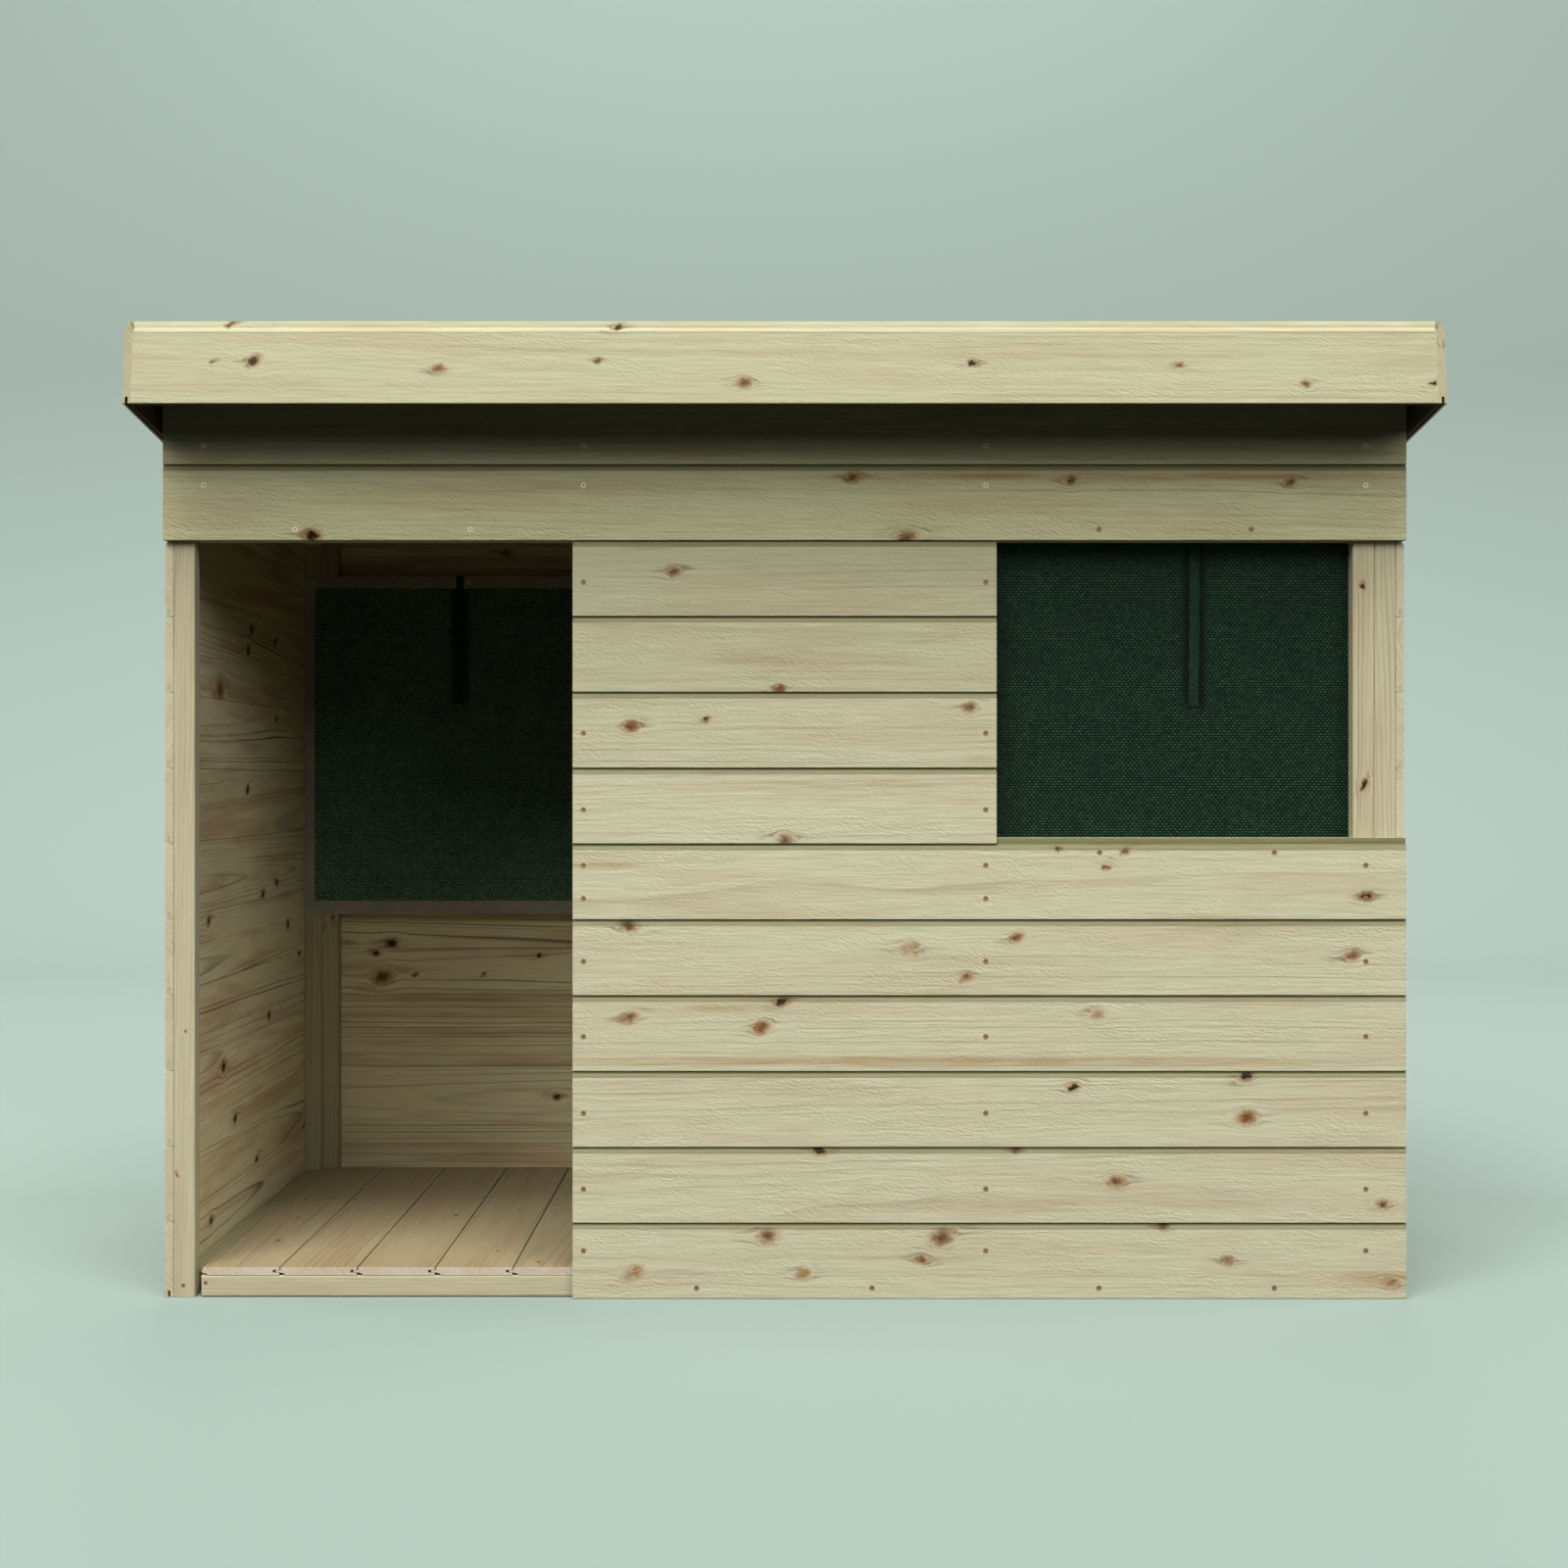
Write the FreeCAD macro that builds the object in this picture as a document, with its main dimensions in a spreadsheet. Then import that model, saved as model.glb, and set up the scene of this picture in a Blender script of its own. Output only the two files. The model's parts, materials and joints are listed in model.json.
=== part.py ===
import FreeCAD
import Part
import Sketcher
import os

# A child's timber playhouse with a pent roof, in millimetres.
# The origin is at ground level under the middle of the walls.
# +Z is up, +X runs along the front to the right, and the front faces -Y.

PARTS_FOLDER = "parts"

# Driving dimensions: alias, value, what it sets. The slope is in degrees.
SIZES = [
    ("wall_width", 1836, "width over the side cladding"),
    ("wall_depth", 936, "depth over the front and back cladding"),
    ("roof_slope", 7, "fall of the roof from front to back"),
    ("cladding_thick", 12, "thickness of the cladding boards"),
    ("timber_wide", 32, "framing timber, the face that the cladding is nailed to"),
    ("timber_deep", 28, "framing timber, square to the front and back walls"),
    ("door_width", 561, "doorway, from the corner stud to the pier"),
    ("window_width", 529, "window openings, between their studs"),
    ("sill_height", 672, "top of the cladding below the windows"),
    ("head_height", 1120, "underside of the cladding over the openings"),
    ("header_high", 233, "front cladding over the openings, at its outer face"),
    ("bearer_wide", 32, "floor bearers, across"),
    ("bearer_high", 32, "floor bearers, upright"),
    ("floor_thick", 12, "floor boards"),
    ("floor_depth", 844, "length of the floor boards, front to back"),
    ("floor_gap", 10, "between the floor and the bottom rails beside it"),
    ("eaves_reach", 120, "how far the roof stands out in front and behind, level"),
    ("roof_gap", 12, "between the side walls and the side fascias"),
    ("rail_wide", 32, "roof rails, along the slope"),
    ("rail_high", 44, "roof rails, square to the slope"),
    ("deck_thick", 12, "roof boards"),
    ("fascia_thick", 12, "fascia boards"),
    ("fascia_high", 122, "fascia boards, square to the slope"),
    ("blind_lap", 22, "cloth blind, past the window's inner side"),
    ("blind_drop", 157, "cloth blind, below the sill"),
    ("blind_thick", 2, "cloth blind with its hem"),
    ("blind_gap", 1, "between a blind's edge and the side cladding"),
    ("strap_wide", 18, "tie strap"),
    ("strap_thick", 2, "tie strap"),
    ("strap_shift", 14, "strap's middle from the blind's middle, outwards"),
    ("front_strap", 244, "hanging length of the front blind's strap"),
    ("back_strap", 241, "hanging length of the back blind's strap"),
]


def add(*terms):
    """Return an expression that adds the terms."""
    return "(" + " + ".join(terms) + ")"


def less(first, *terms):
    """Return an expression that takes the later terms from the first."""
    return "(" + " - ".join((first,) + terms) + ")"


def half(term):
    """Return an expression for half of the term."""
    return f"({term} / 2)"


def minus(term):
    """Return an expression for the term on the other side of the origin."""
    return f"(-1 * {term})"


# Named cells of the sheet, as they stand in an expression
WALL_WIDTH = "Sizes.wall_width"
WALL_DEPTH = "Sizes.wall_depth"
SLOPE = "Sizes.roof_slope"
CLADDING = "Sizes.cladding_thick"
STUD = "Sizes.timber_wide"
FRAME = "Sizes.timber_deep"
BEARER = "Sizes.bearer_high"
RAIL = "Sizes.rail_wide"
RAIL_HIGH = "Sizes.rail_high"
DECK = "Sizes.deck_thick"
FASCIA = "Sizes.fascia_thick"
FASCIA_HIGH = "Sizes.fascia_high"
BLIND_THICK = "Sizes.blind_thick"
STRAP = "Sizes.strap_wide"
STRAP_THICK = "Sizes.strap_thick"

GROUND = "(0)"

# Places across the front, from left to right
RIGHT = half(WALL_WIDTH)
LEFT = minus(RIGHT)
RIGHT_LINING = less(RIGHT, CLADDING)
LEFT_LINING = minus(RIGHT_LINING)
RIGHT_CORNER = less(RIGHT_LINING, STUD)
LEFT_CORNER = minus(RIGHT_CORNER)
RIGHT_JAMB = less(RIGHT_CORNER, STUD)
LEFT_JAMB = minus(RIGHT_JAMB)
DOOR_SIDE = add(LEFT_CORNER, "Sizes.door_width")
WINDOW_SIDE = less(RIGHT_JAMB, "Sizes.window_width")
BACK_WINDOW_SIDE = minus(WINDOW_SIDE)

# Places from front to back
FRONT = minus(half(WALL_DEPTH))
BACK = half(WALL_DEPTH)
FRONT_LINING = add(FRONT, CLADDING)
BACK_LINING = less(BACK, CLADDING)
FRONT_FRAME = add(FRONT_LINING, FRAME)
BACK_FRAME = less(BACK_LINING, FRAME)

# Heights
SILL = "Sizes.sill_height"
HEAD = "Sizes.head_height"
HEAD_TOP = add(HEAD, STUD)
WALL_HIGH = add(HEAD, "Sizes.header_high")
FLOOR_TOP = add(BEARER, "Sizes.floor_thick")
RAIL_DROP = f"({STUD} / cos({SLOPE}))"


def wall_top(place):
    """Return the height of the plane that the roof rests on, at a place from front to back."""
    return f"({WALL_HIGH} - ({place} - {FRONT}) * tan({SLOPE}))"


def under_rail(place):
    """Return the height of the underside of a side wall's sloping top rail."""
    return less(wall_top(place), RAIL_DROP)


doc = FreeCAD.newDocument("Playhouse")
sheet = doc.addObject("Spreadsheet::Sheet", "Sizes")
for row, (alias, value, note) in enumerate(SIZES, start=1):
    sheet.set(f"A{row}", str(value))
    sheet.setAlias(f"A{row}", alias)
    sheet.set(f"B{row}", note)
doc.recompute()

nodes = []


def seat(piece, across, along, up):
    """Bind a piece's place to the expressions for its lowest corner."""
    piece.setExpression(".Placement.Base.x", across)
    piece.setExpression(".Placement.Base.y", along)
    piece.setExpression(".Placement.Base.z", up)


def block(name, length, width, height):
    """Make a sawn block whose three sizes are bound to expressions."""
    piece = doc.addObject("Part::Box", name)
    piece.Label = name
    piece.setExpression("Length", length)
    piece.setExpression("Width", width)
    piece.setExpression("Height", height)
    return piece


def square_block(name, across, along, up):
    """Make a square-cut piece between two places on each axis."""
    piece = block(name, less(across[1], across[0]), less(along[1], along[0]), less(up[1], up[0]))
    seat(piece, across[0], along[0], up[0])
    return piece


def square_piece(name, across, along, up):
    """Add a square-cut piece as a node of its own."""
    nodes.append(square_block(name, across, along, up))


def set_of_pieces(name, pieces):
    """Add like pieces that don't touch each other as one node."""
    group = doc.addObject("Part::Compound", name)
    group.Label = name
    group.Links = pieces
    nodes.append(group)


def side_outline(name, corners, distances):
    """Make a body with a four-cornered side outline, and bind its distances.

    The outline starts at its front foot and goes round by its back foot. Its ends are
    upright and its front end stands on the body's own upright axis. Each distance is a
    label, a kind, the two points that it joins and its expression.
    """
    body = doc.addObject("PartDesign::Body", name)
    body.Label = name
    sketch = body.newObject("Sketcher::SketchObject", f"{name}_outline")
    side_plane = [plane for plane in body.Origin.OriginFeatures if plane.Role == "YZ_Plane"][0]
    sketch.AttachmentSupport = (side_plane, "")
    sketch.MapMode = "FlatFace"
    points = [FreeCAD.Vector(along, up, 0) for along, up in corners]
    for start, end in zip(points, points[1:] + points[:1]):
        sketch.addGeometry(Part.LineSegment(start, end))
    for line in range(4):
        sketch.addConstraint(Sketcher.Constraint("Coincident", line, 2, (line + 1) % 4, 1))
    sketch.addConstraint(Sketcher.Constraint("Vertical", 1))
    sketch.addConstraint(Sketcher.Constraint("Vertical", 3))
    sketch.addConstraint(Sketcher.Constraint("PointOnObject", 0, 1, -2))
    sketch.addConstraint(Sketcher.Constraint("PointOnObject", 1, 1, -1))
    for label, kind, ends, expression in distances:
        first, second = [corners[end] for end in ends]
        span = second[0] - first[0] if kind == "DistanceX" else second[1] - first[1]
        index = sketch.addConstraint(Sketcher.Constraint(kind, ends[0], 1, ends[1], 1, span))
        sketch.renameConstraint(index, label)
        sketch.setExpression(f"Constraints.{label}", expression)
    return body, sketch


def pad_across(body, sketch, across):
    """Pad a side outline across the playhouse, between two places."""
    pad = body.newObject("PartDesign::Pad", f"{body.Label}_pad")
    pad.Profile = sketch
    pad.setExpression("Length", less(across[1], across[0]))
    nodes.append(body)


def sloped_top_piece(name, across, along, base, top):
    """Add a node with a level foot and a top cut to a sloping plane."""
    distances = [
        ("Run", "DistanceX", (0, 1), less(along[1], along[0])),
        ("FrontHigh", "DistanceY", (0, 3), less(top(along[0]), base)),
        ("BackHigh", "DistanceY", (1, 2), less(top(along[1]), base)),
    ]
    corners = [(0, 0), (100, 0), (100, 60), (0, 80)]
    body, sketch = side_outline(name, corners, distances)
    sketch.addConstraint(Sketcher.Constraint("Horizontal", 0))
    pad_across(body, sketch, across)
    seat(body, across[0], along[0], base)


def sloping_rail(name, across, along):
    """Add a side wall's top rail, which follows the roof's slope."""
    fall = less(wall_top(along[0]), wall_top(along[1]))
    distances = [
        ("Run", "DistanceX", (0, 1), less(along[1], along[0])),
        ("Fall", "DistanceY", (1, 0), fall),
        ("FrontDeep", "DistanceY", (0, 3), RAIL_DROP),
        ("BackDeep", "DistanceY", (1, 2), RAIL_DROP),
    ]
    corners = [(0, 40), (100, 0), (100, 30), (0, 70)]
    body, sketch = side_outline(name, corners, distances)
    pad_across(body, sketch, across)
    seat(body, across[0], along[0], under_rail(along[1]))


# Cladding of the front wall

sloped_top_piece("front_header_cladding", (LEFT, RIGHT), (FRONT, FRONT_LINING), HEAD, wall_top)
square_piece("front_pier_cladding", (DOOR_SIDE, WINDOW_SIDE), (FRONT, FRONT_LINING), (SILL, HEAD))
square_piece("front_lower_cladding", (DOOR_SIDE, RIGHT), (FRONT, FRONT_LINING), (GROUND, SILL))

# Cladding of the side walls, between the front and the back

for side, across in (("left", (LEFT, LEFT_LINING)), ("right", (RIGHT_LINING, RIGHT))):
    sloped_top_piece(f"{side}_side_cladding", across, (FRONT_LINING, BACK_LINING), GROUND, wall_top)

# Cladding of the back wall, round its window

sloped_top_piece("back_header_cladding", (LEFT, RIGHT), (BACK_LINING, BACK), HEAD, wall_top)
square_piece("back_middle_cladding", (BACK_WINDOW_SIDE, RIGHT), (BACK_LINING, BACK), (SILL, HEAD))
square_piece("back_lower_cladding", (LEFT, RIGHT), (BACK_LINING, BACK), (GROUND, SILL))

# Framing of the front wall, which stands on the floor boards

FRONT_RUN = (FRONT_LINING, FRONT_FRAME)
PIER_LEFT = (DOOR_SIDE, add(DOOR_SIDE, STUD))
PIER_RIGHT = (less(WINDOW_SIDE, STUD), WINDOW_SIDE)
RIGHT_POST = (RIGHT_JAMB, RIGHT_CORNER)
LEFT_POST = (LEFT_CORNER, LEFT_JAMB)

for name, across in (("door_stud", PIER_LEFT), ("pier_stud", PIER_RIGHT), ("window_stud", RIGHT_POST)):
    sloped_top_piece(f"front_{name}", across, FRONT_RUN, FLOOR_TOP, under_rail)
sloped_top_piece("front_header_stud", LEFT_POST, FRONT_RUN, HEAD, under_rail)
square_piece("front_door_head_rail", (LEFT_JAMB, DOOR_SIDE), FRONT_RUN, (HEAD, HEAD_TOP))
square_piece("front_window_head_rail", (WINDOW_SIDE, RIGHT_JAMB), FRONT_RUN, (HEAD, HEAD_TOP))
square_piece("front_sill_rail", (WINDOW_SIDE, RIGHT_JAMB), FRONT_RUN, (less(SILL, STUD), SILL))
sloping_rail("front_top_rail", (LEFT_CORNER, RIGHT_CORNER), FRONT_RUN)

# Framing of the side walls

for side, across in (("left", (LEFT_LINING, LEFT_CORNER)), ("right", (RIGHT_CORNER, RIGHT_LINING))):
    sloped_top_piece(f"{side}_front_post", across, FRONT_RUN, GROUND, under_rail)
    sloped_top_piece(f"{side}_back_post", across, (BACK_FRAME, BACK_LINING), GROUND, under_rail)
    square_piece(f"{side}_bottom_rail", across, (FRONT_FRAME, BACK_FRAME), (GROUND, STUD))
    sloping_rail(f"{side}_top_rail", across, (FRONT_LINING, BACK_LINING))

# Framing of the back wall

BACK_RUN = (BACK_FRAME, BACK_LINING)
BACK_PIER_LEFT = (BACK_WINDOW_SIDE, add(BACK_WINDOW_SIDE, STUD))
BACK_PIER_RIGHT = (less(minus(BACK_WINDOW_SIDE), STUD), minus(BACK_WINDOW_SIDE))

back_studs = (
    ("corner_stud", LEFT_POST),
    ("window_stud", BACK_PIER_LEFT),
    ("middle_stud", BACK_PIER_RIGHT),
    ("end_stud", RIGHT_POST),
)
for name, across in back_studs:
    sloped_top_piece(f"back_{name}", across, BACK_RUN, STUD, under_rail)
square_piece("back_bottom_rail", (LEFT_CORNER, RIGHT_CORNER), BACK_RUN, (GROUND, STUD))
square_piece("back_sill_rail", (LEFT_JAMB, BACK_WINDOW_SIDE), BACK_RUN, (less(SILL, STUD), SILL))
square_piece("back_head_rail", (LEFT_JAMB, BACK_WINDOW_SIDE), BACK_RUN, (HEAD, HEAD_TOP))
sloping_rail("back_top_rail", (LEFT_CORNER, RIGHT_CORNER), BACK_RUN)

# Floor: boards laid front to back on three bearers

FLOOR_LEFT = add(LEFT_CORNER, "Sizes.floor_gap")
FLOOR_SPAN = (FLOOR_LEFT, minus(FLOOR_LEFT))
FLOOR_BACK = add(FRONT_LINING, "Sizes.floor_depth")
BEARER_WIDE = "Sizes.bearer_wide"

square_piece("floor_boards", FLOOR_SPAN, (FRONT_LINING, FLOOR_BACK), (BEARER, FLOOR_TOP))
bearer_places = (
    ("front_bearer", FRONT_LINING),
    ("middle_bearer", half(less(add(FRONT_LINING, FLOOR_BACK), BEARER_WIDE))),
    ("back_bearer", less(FLOOR_BACK, BEARER_WIDE)),
)
floor_bearers = []
for name, along in bearer_places:
    bearer_run = (along, add(along, BEARER_WIDE))
    floor_bearers.append(square_block(name, FLOOR_SPAN, bearer_run, (GROUND, BEARER)))
set_of_pieces("floor_bearers", floor_bearers)

# Roof, in a frame of its own that lies on the wall tops and falls to the back.
# It starts over the front face of the front wall. The front fascia's foot and the back
# fascia's top stand out from the walls by the same reach.

ROOF_BUILD = add(RAIL_HIGH, DECK)
FASCIA_DROP = less(FASCIA_HIGH, ROOF_BUILD)
REACH = "Sizes.eaves_reach"
ROOF_START = f"(({FASCIA_DROP} * sin({SLOPE}) - {REACH}) / cos({SLOPE}))"
ROOF_END = f"(({WALL_DEPTH} + {REACH} - {ROOF_BUILD} * sin({SLOPE})) / cos({SLOPE}))"
DECK_START = add(ROOF_START, FASCIA)
DECK_END = less(ROOF_END, FASCIA)
ROOF_RIGHT = add(RIGHT, "Sizes.roof_gap")
ROOF_SPAN = (minus(ROOF_RIGHT), ROOF_RIGHT)
WALL_ALONG_SLOPE = f"({WALL_DEPTH} / cos({SLOPE}))"


def roof_block(name, across, along, up):
    """Make a piece between two places on each axis of the roof's own frame."""
    piece = block(name, less(across[1], across[0]), less(along[1], along[0]), less(up[1], up[0]))
    forward = f"({FRONT} + {along[0]} * cos({SLOPE}) + {up[0]} * sin({SLOPE}))"
    upward = f"({WALL_HIGH} - {along[0]} * sin({SLOPE}) + {up[0]} * cos({SLOPE}))"
    turn = f"rotation(vector(1; 0; 0); -1 * {SLOPE})"
    piece.setExpression("Placement", f"placement(vector({across[0]}; {forward}; {upward}); {turn})")
    return piece


def roof_piece(name, across, along, up):
    """Add a piece of the roof as a node of its own."""
    nodes.append(roof_block(name, across, along, up))


rail_places = (
    ("front_eaves_rail", DECK_START),
    ("front_wall_rail", GROUND),
    ("back_wall_rail", less(WALL_ALONG_SLOPE, RAIL)),
    ("back_eaves_rail", less(DECK_END, RAIL)),
)
roof_rails = []
for name, along in rail_places:
    rail_run = (along, add(along, RAIL))
    roof_rails.append(roof_block(name, ROOF_SPAN, rail_run, (GROUND, RAIL_HIGH)))
set_of_pieces("roof_rails", roof_rails)
roof_piece("roof_boards", ROOF_SPAN, (DECK_START, DECK_END), (RAIL_HIGH, ROOF_BUILD))

LEFT_EDGE = (less(ROOF_SPAN[0], FASCIA), ROOF_SPAN[0])
RIGHT_EDGE = (ROOF_SPAN[1], add(ROOF_SPAN[1], FASCIA))
FASCIA_UP = (minus(FASCIA_DROP), ROOF_BUILD)
roof_piece("front_fascia", ROOF_SPAN, (ROOF_START, DECK_START), FASCIA_UP)
roof_piece("back_fascia", ROOF_SPAN, (DECK_END, ROOF_END), FASCIA_UP)
roof_piece("left_fascia", LEFT_EDGE, (ROOF_START, ROOF_END), FASCIA_UP)
roof_piece("right_fascia", RIGHT_EDGE, (ROOF_START, ROOF_END), FASCIA_UP)

# Cloth blinds, hung inside the two windows from the head rails, each with a tie strap.
# The back blind is the front one turned about the middle of the playhouse.

BLIND_UP = (less(SILL, "Sizes.blind_drop"), HEAD_TOP)
BLIND_SPAN = (less(WINDOW_SIDE, "Sizes.blind_lap"), less(RIGHT_LINING, "Sizes.blind_gap"))
STRAP_LEFT = add(half(less(add(*BLIND_SPAN), STRAP)), "Sizes.strap_shift")
STRAP_SPAN = (STRAP_LEFT, add(STRAP_LEFT, STRAP))
FRONT_BLIND_RUN = (FRONT_FRAME, add(FRONT_FRAME, BLIND_THICK))
BACK_BLIND_RUN = (less(BACK_FRAME, BLIND_THICK), BACK_FRAME)
FRONT_STRAP_RUN = (less(FRONT_FRAME, STRAP_THICK), FRONT_FRAME)
BACK_STRAP_RUN = (less(BACK_BLIND_RUN[0], STRAP_THICK), BACK_BLIND_RUN[0])


def turned(span):
    """Return a span on the other side of the middle."""
    return (minus(span[1]), minus(span[0]))


FRONT_STRAP_UP = (less(HEAD, "Sizes.front_strap"), HEAD)
BACK_STRAP_UP = (less(HEAD_TOP, "Sizes.back_strap"), HEAD_TOP)
square_piece("front_blind", BLIND_SPAN, FRONT_BLIND_RUN, BLIND_UP)
square_piece("back_blind", turned(BLIND_SPAN), BACK_BLIND_RUN, BLIND_UP)
square_piece("front_blind_strap", STRAP_SPAN, FRONT_STRAP_RUN, FRONT_STRAP_UP)
square_piece("back_blind_strap", turned(STRAP_SPAN), BACK_STRAP_RUN, BACK_STRAP_UP)

doc.recompute()

# Every object is sound before anything is written

for item in doc.Objects:
    faults = [state for state in item.State if state in ("Invalid", "Error")]
    if faults:
        raise RuntimeError(f"{item.Name} is {faults[0]}")
for node in nodes:
    if node.Shape.isNull() or not node.Shape.isValid():
        raise RuntimeError(f"{node.Label} has no valid shape")

os.makedirs(PARTS_FOLDER, exist_ok=True)
for node in nodes:
    node.Shape.exportStep(f"{PARTS_FOLDER}/{node.Label}.step")
print(f"{len(nodes)} pieces written")
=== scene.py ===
"""Child's playhouse in softwood: shiplap-clad walls, a sloping board roof and two cloth blinds.

Every board, stud and rail is a profile carried along a straight path and worked out with numpy, in metres, in the
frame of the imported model. The front faces -Y and the ground is z = 0.
"""

from __future__ import annotations

import json
import logging
from dataclasses import dataclass, field
from enum import Enum

import bpy
import numpy as np
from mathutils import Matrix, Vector

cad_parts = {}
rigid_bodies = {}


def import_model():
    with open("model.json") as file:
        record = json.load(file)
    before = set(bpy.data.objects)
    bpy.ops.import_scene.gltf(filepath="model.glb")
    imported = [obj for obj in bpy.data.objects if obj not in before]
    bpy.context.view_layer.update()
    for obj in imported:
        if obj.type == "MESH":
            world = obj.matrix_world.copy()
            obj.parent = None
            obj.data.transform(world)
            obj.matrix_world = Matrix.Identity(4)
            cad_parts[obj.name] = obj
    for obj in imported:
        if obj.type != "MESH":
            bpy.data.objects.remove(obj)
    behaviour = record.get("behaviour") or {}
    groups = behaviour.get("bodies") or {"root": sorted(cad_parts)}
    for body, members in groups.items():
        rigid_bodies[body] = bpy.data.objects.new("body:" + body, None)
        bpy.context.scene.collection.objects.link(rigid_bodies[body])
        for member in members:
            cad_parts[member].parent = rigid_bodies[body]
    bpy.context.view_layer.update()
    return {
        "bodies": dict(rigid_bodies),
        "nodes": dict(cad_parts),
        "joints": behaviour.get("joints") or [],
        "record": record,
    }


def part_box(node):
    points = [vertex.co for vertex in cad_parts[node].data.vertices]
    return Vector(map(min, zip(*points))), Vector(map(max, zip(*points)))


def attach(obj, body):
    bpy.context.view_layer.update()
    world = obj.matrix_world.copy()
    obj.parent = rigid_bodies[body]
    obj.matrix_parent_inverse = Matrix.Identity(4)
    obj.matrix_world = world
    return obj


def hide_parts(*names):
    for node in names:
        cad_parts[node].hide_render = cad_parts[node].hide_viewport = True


log = logging.getLogger("playhouse")

MM = 0.001
BODY = "root"
COURSE = 112 * MM
BOARD_THICK = 12 * MM
SLOPE = np.radians(7.0)
X, Y, Z = np.eye(3)
SHARP_ANGLE = np.radians(38)
# What a stretch without a knot or a streak holds instead.
FAR_AWAY = (10.0, 10.0, 1 * MM, 0.0, 0.0)
NO_STREAK = (9.0, 9.0, 1.0, 1.0, 0.0)


class Wall(Enum):
    """The four upright sides of the house."""

    FRONT = "front"
    BACK = "back"
    LEFT = "left"
    RIGHT = "right"


class Face(Enum):
    """Which finish a strip of a board's profile takes."""

    SAWN = 0
    PLANED = 1
    END = 2


def linear(colour: str) -> tuple[float, float, float, float]:
    """Turn an sRGB hex colour to linear light.

    Args:
        colour: six hex digits after a #.

    Returns:
        Red, green, blue and an alpha of 1.
    """
    parts = np.array([int(colour[i : i + 2], 16) for i in (1, 3, 5)]) / 255.0
    curve = np.where(parts <= 0.04045, parts / 12.92, ((parts + 0.055) / 1.055) ** 2.4)
    return (*curve.tolist(), 1.0)


class Graph:
    """The node tree of a material or a world, with one way of adding to it."""

    def __init__(self, owner: bpy.types.Material | bpy.types.World) -> None:
        """Start on the owner's tree, which holds one output and its shader.

        Args:
            owner: a new material or world.
        """
        self.owner = owner
        owner.use_nodes = True
        self.tree = owner.node_tree
        self.shader = next(node for node in self.tree.nodes if node.outputs)

    def feed(self, node: bpy.types.Node, feeds: dict) -> None:
        """Set or link a node's inputs.

        Args:
            node: the node.
            feeds: input number or name, and a value, a socket, or a node whose first output is meant.
        """
        for slot, value in feeds.items():
            if isinstance(value, bpy.types.Node):
                value = value.outputs[0]
            if isinstance(value, bpy.types.NodeSocket):
                self.tree.links.new(value, node.inputs[slot])
            else:
                node.inputs[slot].default_value = value

    def add(self, kind: str, *feeds: object, **settings: object) -> bpy.types.Node:
        """Add one node with its settings and links.

        Args:
            kind: the node's type without ShaderNode, and after a full stop what a node of that type does.
            feeds: what goes into its inputs, in their order, or one dict of input numbers or names.
            settings: the node's own properties.

        Returns:
            The node.
        """
        kind, _, work = kind.partition(".")
        node = self.tree.nodes.new("ShaderNode" + kind)
        if work:
            settings["interpolation_type" if kind == "MapRange" else "operation"] = work
        for key, value in settings.items():
            setattr(node, key, value)
        self.feed(node, feeds[0] if feeds and isinstance(feeds[0], dict) else dict(enumerate(feeds)))
        return node


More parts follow.
